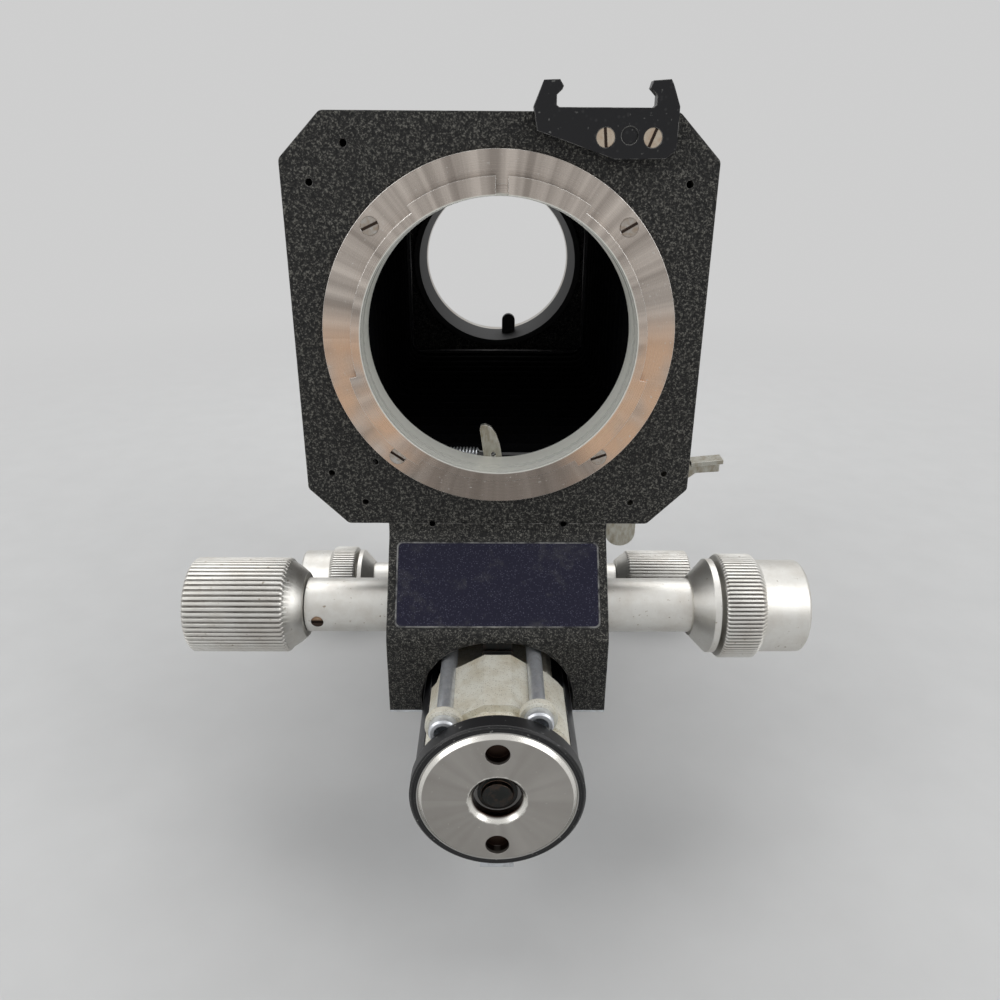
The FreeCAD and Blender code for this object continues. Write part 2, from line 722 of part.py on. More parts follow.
def breech_ring():
    y0 = CAMERA_FRAME_REAR_Y + CLEARANCE
    groove_y0 = CAMERA_FLANGE_FRONT_Y - CLEARANCE
    groove_y1 = CAMERA_FLANGE_REAR_Y + CLEARANCE
    groove_r = CAMERA_FLANGE_R + CLEARANCE
    bore_r = CAMERA_NECK_R + 2 * CLEARANCE
    ring = revolve_y([
        (y0, bore_r),
        (y0, BREECH_R),
        (BREECH_REAR_Y - 0.6, BREECH_R),
        (BREECH_REAR_Y, BREECH_R - 0.6),
        (BREECH_REAR_Y, BREECH_MOUTH_R),
        (groove_y1, BREECH_MOUTH_R),
        (groove_y1, groove_r),
        (groove_y0, groove_r),
        (groove_y0, bore_r),
    ], 0, LENS_Z)
    lugs = [
        sector(BREECH_MOUTH_R + 0.1, BREECH_LUG_R, start, start + BREECH_LUG_WIDTH,
               BREECH_REAR_Y - BREECH_LUG_T, BREECH_REAR_Y)
        for start in BREECH_LUG_STARTS
    ]
    return fuse(ring, *lugs)


def sector(r_out, r_in, start, end, y0, y1):
    """Ring sector about the lens axis, between two angles in degrees."""
    steps = 6
    angles = [start + (end - start) * i / steps for i in range(steps + 1)]
    reach = r_out / math.cos(math.radians((end - start) / steps / 2)) + 0.1
    wedge = [around_lens(reach, a) for a in angles] + [(0.0, LENS_Z)]
    return prism_y(wedge, y0, y1).common(ring_y(r_out, r_in, 0, LENS_Z, y0, y1))


def bellows_plate(half_w, z_low, z_high, y0, y1):
    plate = prism_y(octagon(half_w, z_low, z_high, PLATE_CHAMFER - 1), y0, y1)
    hole = BELLOWS_IN
    return plate.cut(block(-hole, hole, y0, y1, LENS_Z - hole, LENS_Z + hole))


# Lens standard

def lens_frame():
    y0 = PLATE_FRONT_Y
    y1 = FRAME_REAR_Y
    shell = rounded_octagon(PLATE_HALF_W, PLATE_BOTTOM_Z, PLATE_TOP_Z, PLATE_CHAMFER,
                            PLATE_CORNER_R, y0, y1)
    inner = octagon(PLATE_HALF_W - FRAME_WALL, PLATE_BOTTOM_Z + FRAME_WALL,
                    PLATE_TOP_Z - FRAME_WALL, PLATE_CHAMFER - 1)
    guide = cylinder_y(COLLAR_GUIDE_R, 0, LENS_Z, y0 + PLATE_T, y0 + PLATE_T + 1.2)
    hollow = prism_y(inner, y0 + PLATE_T, y1)
    body = shell.cut(hollow).fuse(guide)
    slot_y0 = y0 + PLATE_T
    slot_y1 = slot_y0 + 3.4
    cuts = [
        cylinder_y(FLANGE_R, 0, LENS_Z, y0, y0 + FLANGE_T - 0.8),
        cylinder_y(NECK_R, 0, LENS_Z, y0, y1),
        block(PLATE_HALF_W - 3, PLATE_HALF_W + 1, slot_y0, slot_y1,
              PLATE_BOTTOM_Z - 1, LENS_Z - 8.0),
        block(BLOCK_HALF_W, PLATE_HALF_W + 1, slot_y0, slot_y1,
              PLATE_BOTTOM_Z - 1, PLATE_BOTTOM_Z + PLATE_CHAMFER + 1),
    ]
    cuts += [cylinder_y(HOLE_R, x, z, y0, y0 + PLATE_T) for x, z in plate_hole_points()]
    return body.cut(cuts)


def plate_hole_points():
    """Two holes near each corner, two at the foot, and one beside the actuator."""
    points = [(-FOOT_HOLE_X, FOOT_HOLE_Z), (FOOT_HOLE_X, FOOT_HOLE_Z), PIVOT_HOLE]
    for quarter in (0, 180):
        for angle in HOLE_ANGLES:
            points.append(around_lens(HOLE_CIRCLE_R, quarter + angle))
            points.append(around_lens(HOLE_CIRCLE_R, quarter - angle))
    return points


def arch_void(y0, y1):
    """Tunnel over the rail: upright sides, a flat crown and wide round corners."""
    crown = ARCH_HALF_W - ARCH_CORNER_R
    spring_z = RAIL_Z + ARCH_TOP - ARCH_CORNER_R
    top_z = RAIL_Z + ARCH_TOP
    mid = ARCH_CORNER_R * math.sqrt(0.5)
    floor_z = RAIL_Z - 5
    left = Part.Arc(V(-ARCH_HALF_W, y0, spring_z), V(-crown - mid, y0, spring_z + mid),
                    V(-crown, y0, top_z)).toShape()
    right = Part.Arc(V(crown, y0, top_z), V(crown + mid, y0, spring_z + mid),
                     V(ARCH_HALF_W, y0, spring_z)).toShape()
    wire = Part.Wire([
        Part.LineSegment(V(-ARCH_HALF_W, y0, floor_z), V(-ARCH_HALF_W, y0, spring_z)).toShape(),
        left,
        Part.LineSegment(V(-crown, y0, top_z), V(crown, y0, top_z)).toShape(),
        right,
        Part.LineSegment(V(ARCH_HALF_W, y0, spring_z), V(ARCH_HALF_W, y0, floor_z)).toShape(),
        Part.LineSegment(V(ARCH_HALF_W, y0, floor_z), V(-ARCH_HALF_W, y0, floor_z)).toShape(),
    ])
    return Part.Face(wire).extrude(V(0, y1 - y0, 0))


def standard_block():
    corners = [
        (PLATE_FRONT_Y, PLATE_BOTTOM_Z, 0),
        (PLATE_FRONT_Y, SLOPE_TOP_Z, COVE_R),
        (BLOCK_FRONT_Y, SLOPE_BOTTOM_Z, CREASE_R),
        (BLOCK_FRONT_Y, BLOCK_BOTTOM_Z, 0),
        (BLOCK_REAR_Y, BLOCK_BOTTOM_Z, 0),
        (BLOCK_REAR_Y, BLOCK_SHOULDER_Z, 0),
        (FRAME_REAR_Y, BLOCK_BACK_Z, 0),
        (FRAME_REAR_Y, PLATE_BOTTOM_Z, 0),
    ]
    side = rounded_face([(V(-BLOCK_HALF_W, y, z), r) for y, z, r in corners])
    body = side.extrude(V(2 * BLOCK_HALF_W, 0, 0))
    cuts = [
        arch_void(BLOCK_FRONT_Y - 1, BLOCK_REAR_Y + 1),
        cylinder_x(PITCH_R + ADDENDUM + 0.6, FRONT_SHAFT_Y, FRONT_SHAFT_Z,
                   -PINION_HALF_W - 0.4, PINION_HALF_W + 0.4),
        cylinder_x(SHAFT_R + CLEARANCE, FRONT_SHAFT_Y, FRONT_SHAFT_Z,
                   -BLOCK_HALF_W - 1, BLOCK_HALF_W + 1),
    ]
    for side in (-1, 1):
        cuts.append(cylinder_y(HOLE_R, side * FOOT_HOLE_X, FOOT_HOLE_Z,
                               PLATE_FRONT_Y, PLATE_FRONT_Y + PLATE_T))
    return body.cut(cuts)


def wear_strips():
    z0 = BLOCK_BOTTOM_Z - STRIP_T
    strip = block(ARCH_HALF_W, BLOCK_HALF_W, BLOCK_FRONT_Y, BLOCK_REAR_Y, z0, BLOCK_BOTTOM_Z)
    return Part.makeCompound([strip, mirror_x(strip)])


def guide_shoe(rod, x0, x1):
    y0 = SHOE_FRONT_Y
    y1 = SHOE_REAR_Y
    shoe = block(x0, x1, y0, y1, CORE_TOP_Z + 0.3, RAIL_Z + 20)
    shoe = shoe.common(arch_void(y0, y1))
    return shoe.cut(rod_cylinder(rod, y0, y1, CLEARANCE))


def lens_flange():
    face = FLANGE_Y
    front = FLANGE_Y - MOUNT_PROUD
    rear = PLATE_FRONT_Y + PLATE_T + 1.2
    seat = PLATE_FRONT_Y + FLANGE_T - 0.8
    body = revolve_y([
        (front, THROAT_R),
        (front, NECK_R),
        (face, NECK_R),
        (face, FLANGE_R),
        (seat, FLANGE_R),
        (seat, NECK_R),
        (rear, NECK_R),
        (rear, BORE_REAR_R),
    ], 0, LENS_Z)
    lugs = [sector(LUG_R, NECK_R - 0.3, a, b, front, front + LUG_T) for a, b in LUG_SPANS]
    notch = block(NOTCH_LEFT_X, NOTCH_RIGHT_X, front, face + 1.0,
                  LENS_Z + BORE_REAR_R - 1, LENS_Z + NECK_R)
    lug_gap = block(NOTCH_LEFT_X, NOTCH_RIGHT_X, front, face, LENS_Z + NECK_R, LENS_Z + LUG_R + 1)
    heads = []
    for angle, slot in FLANGE_SCREWS:
        x, z = around_lens(SCREW_CIRCLE_R, angle)
        heads.append(cylinder_y(FLANGE_SCREW_R, x, z, face, face + SCREW_SINK))
    return fuse(body, *lugs).cut([notch, lug_gap] + heads)


def slotted_head(x, z, r, y_face, y_seat, slot_angle):
    """Flat screw head that faces -Y, with a slot that rises to the right by an angle."""
    head = cylinder_y(r, x, z, y_face, y_seat)
    slot = block(x - r, x + r, y_face, y_face + 0.3, z - 0.22, z + 0.22)
    slot.rotate(V(x, y_face, z), V(0, -1, 0), slot_angle)
    return head.cut(slot)


def flange_screws():
    heads = []
    for angle, slot in FLANGE_SCREWS:
        x, z = around_lens(SCREW_CIRCLE_R, angle)
        heads.append(slotted_head(x, z, FLANGE_SCREW_R, FLANGE_Y - 0.15, FLANGE_Y + SCREW_SINK, slot))
    return Part.makeCompound(heads)


def accessory_clip():
    """Plate with two claws. Its outline is (x, height above the lens plate's top edge)."""
    outline = [
        (5.7, -2.8),
        (5.1, 0.6),
        (6.6, 4.2),
        (9.0, 4.3),
        (9.6, 3.4),
        (9.4, 2.9),
        (8.6, 2.2),
        (8.6, 0.8),
        (9.0, 0.5),
        (23.4, 0.5),
        (23.8, 0.9),
        (23.8, 2.2),
        (22.8, 3.2),
        (23.1, 4.2),
        (25.8, 4.4),
        (26.2, 3.7),
        (27.4, 0.7),
        (27.4, -5.4),
        (25.8, -6.7),
        (17.9, -6.8),
    ]
    outline = [(x, PLATE_TOP_Z + z) for x, z in outline]
    plate = prism_y(outline, CLIP_FRONT_Y, CLIP_REAR_Y)
    holes = []
    for x, slot in CLIP_SCREWS:
        holes.append(cylinder_y(CLIP_SCREW_R, x, CLIP_SCREW_Z, CLIP_FRONT_Y, CLIP_FRONT_Y + SCREW_SINK))
    x, z = CLIP_RIVET
    holes.append(cylinder_y(CLIP_RIVET_R, x, z, CLIP_FRONT_Y, CLIP_REAR_Y))
    return plate.cut(holes)


def clip_screws():
    return Part.makeCompound([
        slotted_head(x, CLIP_SCREW_Z, CLIP_SCREW_R, CLIP_FRONT_Y + 0.1, CLIP_FRONT_Y + SCREW_SINK, slot)
        for x, slot in CLIP_SCREWS
    ])


def clip_rivet():
    x, z = CLIP_RIVET
    return cylinder_y(CLIP_RIVET_R, x, z, CLIP_FRONT_Y + 0.25, CLIP_REAR_Y)


def lens_prism(outline, y0, y1):
    """Prism from (x, height above the lens axis) points."""
    return prism_y([(x, LENS_Z + z) for x, z in outline], y0, y1)


def actuator():
    """Sheet ring with a blade into the throat, a finger tab and a lobe."""
    y0 = PLATE_FRONT_Y + PLATE_T + 0.1
    y1 = y0 + SHEET_T
    ring = ring_y(ACTUATOR_R, COLLAR_GUIDE_R + CLEARANCE, 0, LENS_Z, y0, y1)
    blade_y = PLATE_FRONT_Y + PLATE_T + 1.3
    blade_y1 = blade_y + SHEET_T
    web = block(-2.4, 0.7, y1, blade_y, LENS_Z - 29.0, LENS_Z - 27.0)
    blade = lens_prism([(-2.4, -29.0), (0.9, -29.0), (0.7, -23.0), (0.3, -20.4), (-0.4, -18.4),
                        (-1.3, -17.1), (-2.4, -16.6), (-3.2, -16.8), (-3.4, -17.6), (-2.6, -23.4)],
                       blade_y, blade_y1)
    eye = cylinder_y(0.45, -0.9, SPRING_Z, blade_y, blade_y1)
    tab_arm = lens_prism([(22.0, -19.0), (35.2, -22.7), (41.2, -22.7), (41.2, -25.2), (36.9, -25.5),
                          (35.0, -27.0), (21.0, -23.4)], y0, y1)
    leaf = lens_prism([(35.4, -23.5), (41.2, -22.9), (41.2, -22.1), (35.4, -22.7)], y0 - 2.2, y1)
    lobe_arm = lens_prism([(13.0, -25.0), (20.7, -32.4), (20.7, -37.8), (26.4, -37.8),
                           (26.4, -32.8), (17.6, -21.8)], y0, y1)
    lobe = cylinder_y(2.85, 23.55, LENS_Z - 37.8, y0, y1)
    body = fuse(ring, web, blade, tab_arm, leaf, lobe_arm, lobe)
    return body.cut([cylinder_y(COLLAR_GUIDE_R + CLEARANCE, 0, LENS_Z, y0, y1), eye])


def actuator_retainer():
    """Three small washered studs behind the ring keep it on its guide."""
    y0 = PLATE_FRONT_Y + PLATE_T
    studs = []
    for angle in (30.0, 150.0, 205.0):
        x, z = around_lens(ACTUATOR_R + 1.3, angle)
        post = cylinder_y(0.9, x, z, y0, y0 + 1.2)
        washer = cylinder_y(2.4, x, z, y0 + 1.2, y0 + 1.9)
        studs.append(post.fuse(washer))
    return Part.makeCompound(studs)


def spring_anchor():
    """Post outside the actuator ring, with a hook that reaches behind it to the spring."""
    y1 = SPRING_Y + 0.9
    post = cylinder_y(ANCHOR_R, -14.6, LENS_Z - 26.7, PLATE_FRONT_Y + PLATE_T, y1)
    hook = lens_prism([(-15.4, -26.7), (-13.8, -26.7), (-12.4, -23.2), (-12.4, -21.6),
                       (-13.4, -21.6)], SPRING_Y - 0.6, y1)
    return post.fuse(hook)


def return_spring():
    return cylinder_x(SPRING_R, SPRING_Y, SPRING_Z, SPRING_LEFT_X, SPRING_RIGHT_X)


def onto_front_tube(shape):
    """Turn a shape from above the X axis to the tube's front and carry it to the shaft."""
    shape.rotate(V(0, 0, 0), V(1, 0, 0), TUBE_SCREW_TURN)
    shape.translate(V(0, FRONT_SHAFT_Y, FRONT_SHAFT_Z))
    return shape


def grub_pin(height):
    return onto_front_tube(Part.makeCylinder(TUBE_SCREW_R, height,
                                             V(TUBE_SCREW_X, 0, HOUSING_R - 1.6), V(0, 0, 1)))


def front_drive_tube():
    tube = mirror_x(drive_housing(FRONT_SHAFT_Y, FRONT_SHAFT_Z, BLOCK_HALF_W))
    return tube.cut(grub_pin(3.0))


def tube_screw():
    slot = block(TUBE_SCREW_X - TUBE_SCREW_R, TUBE_SCREW_X + TUBE_SCREW_R, -0.2, 0.2,
                 HOUSING_R - 0.3, HOUSING_R + 0.3)
    return grub_pin(1.6).cut(onto_front_tube(slot))


# Bellows

def bellows_skin(shrink):
    step = (BELLOWS_REAR_Y - BELLOWS_FRONT_Y) / (2 * PLEATS)
    rings = []
    for i in range(2 * PLEATS + 1):
        y = BELLOWS_FRONT_Y + i * step
        half = (BELLOWS_OUT if i % 2 else BELLOWS_IN + BELLOWS_WALL + 0.4) - shrink
        chamfer = BELLOWS_CHAMFER if i % 2 else BELLOWS_CHAMFER - 2.0
        ring = octagon(half, LENS_Z - half, LENS_Z + half, chamfer)
        rings.append([V(x, y, z) for x, z in ring])
    return banded_solid(rings)


def bellows():
    return bellows_skin(0.0).cut(bellows_skin(BELLOWS_WALL))


def build_parts():
    front = (FRONT_SHAFT_Y, FRONT_SHAFT_Z)
    rear = (CARRIAGE_SHAFT_Y, CARRIAGE_SHAFT_Z)
    return {
        "carriage_body": carriage_body(),
        "gib_right": gib(),
        "gib_left": mirror_x(gib()),
        "tripod_bush": tripod_bush(),
        "carriage_drive_tube": drive_housing(*rear, CARRIAGE_HALF_W),
        "carriage_lock_tube": mirror_x(lock_housing(*rear, CARRIAGE_HALF_W)),
        "carriage_lock_collar": mirror_x(lock_collar(*rear)),
        "carriage_drive_knob": drive_knob(*rear),
        "carriage_drive_shaft": drive_shaft(*rear),
        "carriage_pinion": pinion(*rear, up=True),
        "carriage_lock_knob": mirror_x(lock_knob(*rear)),
        "carriage_lock_screw": mirror_x(lock_screw(*rear)),
        "rail_tube": rail_tube(),
        "rail_core": rail_core(),
        "guide_rod_left": guide_rod(LEFT_ROD),
        "guide_rod_right": guide_rod(RIGHT_ROD),
        "upper_rack": upper_rack(),
        "keel_rack": keel_rack(),
        "cap_ring": cap_ring(),
        "cap_disc": cap_disc(),
        "cap_screw": cap_screw(),
        "rear_cap": rear_cap(),
        "camera_pedestal": camera_pedestal(),
        "camera_frame": camera_frame(),
        "camera_mount": camera_mount(),
        "coupling_lug": coupling_lug(),
        "breech_ring": breech_ring(),
        "rear_bellows_plate": bellows_plate(
            CAMERA_FRAME_HALF_W, LENS_Z - CAMERA_FRAME_HALF_W, LENS_Z + CAMERA_FRAME_HALF_W,
            BELLOWS_REAR_Y, CAMERA_FRAME_FRONT_Y),
        "front_bellows_plate": bellows_plate(
            PLATE_HALF_W - FRAME_WALL, PLATE_BOTTOM_Z + FRAME_WALL, PLATE_TOP_Z - FRAME_WALL,
            FRAME_REAR_Y - 1.5, FRAME_REAR_Y),
        "bellows": bellows(),
        "lens_frame": lens_frame(),
        "standard_block": standard_block(),
        "wear_strips": wear_strips(),
        "guide_shoe_left": guide_shoe(LEFT_ROD, -14.0, -6.0),
        "guide_shoe_right": guide_shoe(RIGHT_ROD, 4.6, 12.4),
        "front_drive_tube": front_drive_tube(),
        "front_lock_tube": lock_housing(*front, BLOCK_HALF_W),
        "front_lock_collar": lock_collar(*front),
        "tube_screw": tube_screw(),
        "lens_flange": lens_flange(),
        "flange_screws": flange_screws(),
        "accessory_clip": accessory_clip(),
        "clip_screws": clip_screws(),
        "clip_rivet": clip_rivet(),
        "actuator": actuator(),
        "actuator_retainer": actuator_retainer(),
        "spring_anchor": spring_anchor(),
        "return_spring": return_spring(),
        "front_drive_knob": mirror_x(drive_knob(*front)),
        "front_drive_shaft": mirror_x(drive_shaft(*front)),
        "front_pinion": pinion(*front, up=False),
        "front_lock_knob": lock_knob(*front),
        "front_lock_screw": lock_screw(*front),
    }


def main():
    os.makedirs("parts", exist_ok=True)
    for name, shape in build_parts().items():
        shape.exportStep(os.path.join("parts", name + ".step"))


main()
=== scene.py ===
import math
import random

import bmesh
import bpy
from mathutils import Matrix, Vector

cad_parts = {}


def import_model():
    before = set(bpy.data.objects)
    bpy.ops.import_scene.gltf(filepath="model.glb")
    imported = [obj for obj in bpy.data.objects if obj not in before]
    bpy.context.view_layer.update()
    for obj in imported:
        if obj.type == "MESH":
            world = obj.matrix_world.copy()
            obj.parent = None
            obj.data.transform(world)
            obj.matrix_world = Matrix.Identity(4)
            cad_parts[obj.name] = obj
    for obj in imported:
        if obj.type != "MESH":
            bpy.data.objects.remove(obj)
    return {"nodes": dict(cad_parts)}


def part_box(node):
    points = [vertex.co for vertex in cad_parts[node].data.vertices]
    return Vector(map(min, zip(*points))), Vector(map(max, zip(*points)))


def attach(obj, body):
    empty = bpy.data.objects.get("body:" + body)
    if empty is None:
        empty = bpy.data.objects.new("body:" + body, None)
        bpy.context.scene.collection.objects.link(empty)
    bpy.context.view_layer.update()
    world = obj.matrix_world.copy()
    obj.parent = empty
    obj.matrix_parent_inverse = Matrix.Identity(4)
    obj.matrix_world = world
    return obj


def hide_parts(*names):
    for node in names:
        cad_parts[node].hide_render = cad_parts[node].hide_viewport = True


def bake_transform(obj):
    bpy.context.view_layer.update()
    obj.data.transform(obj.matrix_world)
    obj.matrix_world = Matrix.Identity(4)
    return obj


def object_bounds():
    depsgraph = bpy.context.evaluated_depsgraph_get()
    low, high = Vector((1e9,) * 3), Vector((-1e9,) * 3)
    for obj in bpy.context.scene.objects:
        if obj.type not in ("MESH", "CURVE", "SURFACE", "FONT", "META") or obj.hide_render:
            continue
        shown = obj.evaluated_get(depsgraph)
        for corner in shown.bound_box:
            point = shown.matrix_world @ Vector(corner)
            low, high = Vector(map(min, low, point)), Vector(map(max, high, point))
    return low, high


# Macro bellows unit: finishes, fluted knobs, pleated bellows, return spring and name place.
# Metres, +Z up, the lens side faces -Y, as in the frame. Sizes are in millimetres times MM.

MM = 0.001

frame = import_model()
CAD_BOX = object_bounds()
LENS_Z = sum(corner.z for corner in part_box("lens_flange")) / 2

# Camera
CAMERA_PLACE = Vector((-0.8, -200.0, 136.0)) * MM
CAMERA_PITCH = math.radians(23.1)
CAMERA_ROLL = math.radians(0.37)
CAMERA_YAW = math.radians(-0.48)
CAMERA_LENS = 29.4

# Knobs, in millimetres, which their profiles use. A flute's pattern gives (share of its pitch, depth share).
DRIVE_FLUTES = 56
LOCK_FLUTES = 80
FLUTE_DEPTH = 0.34
FLUTE_PATTERN = ((0.0, 0.15), (0.07, 0.0), (0.50, 0.0), (0.57, 0.15), (0.67, 1.0), (0.90, 1.0))
KNOB_NECK_R = 6.4
DRIVE_CONE = 3.1
DRIVE_RIM = 2.2
DRIVE_DISH = 0.5
LOCK_END = 8.7
LOCK_END_R = 9.1
LOCK_NECK = 0.7

# Bellows. A corner is how far the square's corner is cut back along each side.
PLEATS = 15
PLEAT_DEPTH = 3.9 * MM
PLEAT_TURN = 0.42 * MM
VALLEY_CORNER = 2.4 * MM
SLOPE_CORNER = 3.8 * MM
SHOULDER_CORNER = 5.2 * MM
CREST_CORNER = 5.3 * MM
CLOTH_T = 0.5 * MM
FOLD_SEED = 3

# Mounts
FLANGE_BORE_R = 23.35 * MM
REGISTER_DEPTH = 2.25 * MM

# Return spring
SPRING_WIRE_R = 0.15 * MM
SPRING_PITCH = 0.62 * MM
SPRING_HOOK = 0.4 * MM
SPRING_EYE_R = 0.42 * MM
BLADE_EYE_X = -0.9 * MM
WIRE_SIDES = 8
COIL_STEPS = 14
EYE_STEPS = 8

# Name place
LABEL_HALF_W = 19.0 * MM
LABEL_MARGIN = 0.35 * MM
LABEL_CORNER = 1.0 * MM
LABEL_T = 0.3 * MM

# Background, as the camera and the metal see it. The floor fades into it between the two distances.
BACKGROUND = 0.62
FLOOR_HALF = 6.0
FLOOR_FADE = (0.2, 0.6)

# Lamps, with places and sizes in metres and powers in watts
LAMP_AIM = Vector((0.0, -0.02, 0.06))
TOP_LAMP = {"place": (0.0, 0.30, 0.85), "size": (1.2, 0.9), "power": 5.4}
LEFT_LAMP = {"place": (-0.75, -0.45, 0.60), "size": (0.6, 0.8), "power": 3.3}
RIGHT_LAMP = {"place": (0.75, -0.45, 0.60), "size": (0.6, 0.8), "power": 3.3}
SKY_COLOUR = (0.95, 0.97, 1.0, 1.0)
SKY_STRENGTH = 0.3


# Materials

class Finish:
    """One Principled material, with short calls for the nodes that give it grain and wear."""

    def __init__(self, name, colour, metallic, roughness):
        self.material = bpy.data.materials.new(name)
        self.material.use_nodes = True
        self.tree = self.material.node_tree
        self.shader = self.tree.nodes["Principled BSDF"]
        self.place = self.add("ShaderNodeTexCoord").outputs["Object"]
        self.set("Base Color", (*colour, 1.0))
        self.set("Metallic", metallic)
        self.set("Roughness", roughness)

    def add(self, kind, **settings):
        node = self.tree.nodes.new(kind)
        for key, value in settings.items():
            setattr(node, key, value)
        return node

    def set(self, socket, value):
        self.shader.inputs[socket].default_value = value

    def join(self, output, socket):
        self.tree.links.new(output, socket)

    def feed(self, output, socket):
        self.join(output, self.shader.inputs[socket])

    def stretched(self, x, y, z):
        """The place, scaled so that the grain runs long where a factor is small."""
        node = self.add("ShaderNodeVectorMath", operation="MULTIPLY")
        self.join(self.place, node.inputs[0])
        node.inputs[1].default_value = (x, y, z)
        return node.outputs[0]

    def noise(self, size, detail=2.0, rough=0.55, place=None, distortion=0.0):
        """Noise whose lumps are about size millimetres across."""
        node = self.add("ShaderNodeTexNoise")
        node.inputs["Scale"].default_value = 0.6 / (size * MM)
        node.inputs["Detail"].default_value = detail
        node.inputs["Roughness"].default_value = rough
        node.inputs["Distortion"].default_value = distortion
        self.join(place or self.place, node.inputs["Vector"])
        return node.outputs["Fac"]

    def cells(self, size):
        """(distance from the middle, random share) of Voronoi cells about size millimetres wide."""
        node = self.add("ShaderNodeTexVoronoi")
        node.inputs["Scale"].default_value = 1.0 / (size * MM)
        self.join(self.place, node.inputs["Vector"])
        split = self.add("ShaderNodeSeparateColor")
        self.join(node.outputs["Color"], split.inputs[0])
        return node.outputs["Distance"], split.outputs[0]

    def line_noise(self, value, scale, detail=2.0):
        """Noise along one value, such as a radius or a turn."""
        node = self.add("ShaderNodeTexNoise", noise_dimensions="1D")
        node.inputs["Scale"].default_value = scale
        node.inputs["Detail"].default_value = detail
        self.join(value, node.inputs["W"])
        return node.outputs["Fac"]

    def grains(self, size, share=0.5):
        """(1 on some of the grain tips, height of the grains)."""
        distance, chance = self.cells(size)
        tips = self.maths("MULTIPLY", self.span(distance, 0.42, 0.18), self.span(chance, 1.0 - share, 1.0))
        return tips, self.maths("SUBTRACT", 1.0, distance)

    def span(self, value, low, high, to_low=0.0, to_high=1.0, smooth=False):
        node = self.add("ShaderNodeMapRange", interpolation_type="SMOOTHSTEP" if smooth else "LINEAR")
        self.join(value, node.inputs["Value"])
        node.inputs["From Min"].default_value = low
        node.inputs["From Max"].default_value = high
        node.inputs["To Min"].default_value = to_low
        node.inputs["To Max"].default_value = to_high
        return node.outputs["Result"]

    def maths(self, operation, a, b=0.0, clamp=False):
        node = self.add("ShaderNodeMath", operation=operation, use_clamp=clamp)
        for socket, value in zip(node.inputs, (a, b)):
            if isinstance(value, (int, float)):
                socket.default_value = value
            else:
                self.join(value, socket)
        return node.outputs[0]

    def mix(self, share, first, second):
        """A colour between two, each a triple or an output."""
        node = self.add("ShaderNodeMix", data_type="RGBA")
        self.join(share, node.inputs["Factor"])
        colours = [s for s in node.inputs if s.type == "RGBA"]
        for socket, value in zip(colours, (first, second)):
            if isinstance(value, tuple):
                socket.default_value = (*value, 1.0)
            else:
                self.join(value, socket)
        return next(s for s in node.outputs if s.type == "RGBA")

    def part(self, axis):
        """One coordinate of the place, in metres."""
        node = self.add("ShaderNodeSeparateXYZ")
        self.join(self.place, node.inputs[0])
        return node.outputs[axis]

    def about_y(self, x, z):
        """(distance from a line along Y, turn about it in radians)."""
        across = self.maths("SUBTRACT", self.part("X"), x)
        up = self.maths("SUBTRACT", self.part("Z"), z)
        squared = self.maths("ADD", self.maths("MULTIPLY", across, across), self.maths("MULTIPLY", up, up))
        return self.maths("SQRT", squared), self.maths("ARCTAN2", up, across)

    def rounded(self, radius):
        """Normals that turn softly over edges of about radius millimetres."""
        node = self.add("ShaderNodeBevel", samples=4)
        node.inputs["Radius"].default_value = radius * MM
        return node.outputs["Normal"]

    def edges(self, radius, low=0.02, high=0.12):
        """1 along the edges, 0 on open faces."""
        dot = self.add("ShaderNodeVectorMath", operation="DOT_PRODUCT")
        self.join(self.rounded(radius), dot.inputs[0])
        self.join(self.add("ShaderNodeNewGeometry").outputs["Normal"], dot.inputs[1])
        return self.span(self.maths("SUBTRACT", 1.0, dot.outputs["Value"]), low, high)

    def bump(self, height, depth, strength=1.0, normal=None):
        """Raised by up to depth millimetres."""
        node = self.add("ShaderNodeBump")
        node.inputs["Strength"].default_value = strength
        node.inputs["Distance"].default_value = depth * MM
        self.join(height, node.inputs["Height"])
        if normal is not None:
            self.join(normal, node.inputs["Normal"])
        return node.outputs["Normal"]


def black_wrinkle():
    """Black crackle enamel: near black with painted highlight specks on the grain tips, rubbed to grey along
    the edges.
    """
    paint = Finish("black_wrinkle", (0.012, 0.012, 0.012), 0.0, 0.4)
    paint.set("Specular IOR Level", 0.3)
    grit = paint.noise(0.17, 2.0, 0.7)
    crackle = paint.noise(0.42, 3.0, 0.6)
    # tips: pale specks on the crests of the crackle, a painted highlight in the base colour
    tips = paint.maths("MULTIPLY", paint.span(grit, 0.50, 0.63), paint.span(crackle, 0.40, 0.54))
    dark = paint.mix(paint.span(crackle, 0.36, 0.62), (0.001, 0.001, 0.001), (0.012, 0.0115, 0.0105))
    tone = paint.mix(tips, dark, (0.17, 0.165, 0.145))
    worn = paint.span(paint.noise(1.0, 3.0), 0.42, 0.58)
    rub = paint.maths("MULTIPLY", paint.edges(0.3, 0.05, 0.3), worn)
    paint.feed(paint.mix(rub, tone, (0.34, 0.33, 0.31)), "Base Color")
    paint.feed(paint.span(paint.noise(14.0, 2.0), 0.3, 0.7, 0.34, 0.48), "Roughness")
    height = paint.maths("ADD", crackle, paint.maths("MULTIPLY", grit, 0.5))
    paint.feed(paint.bump(height, 0.30, 1.0, paint.rounded(0.5)), "Normal")
    return paint.material


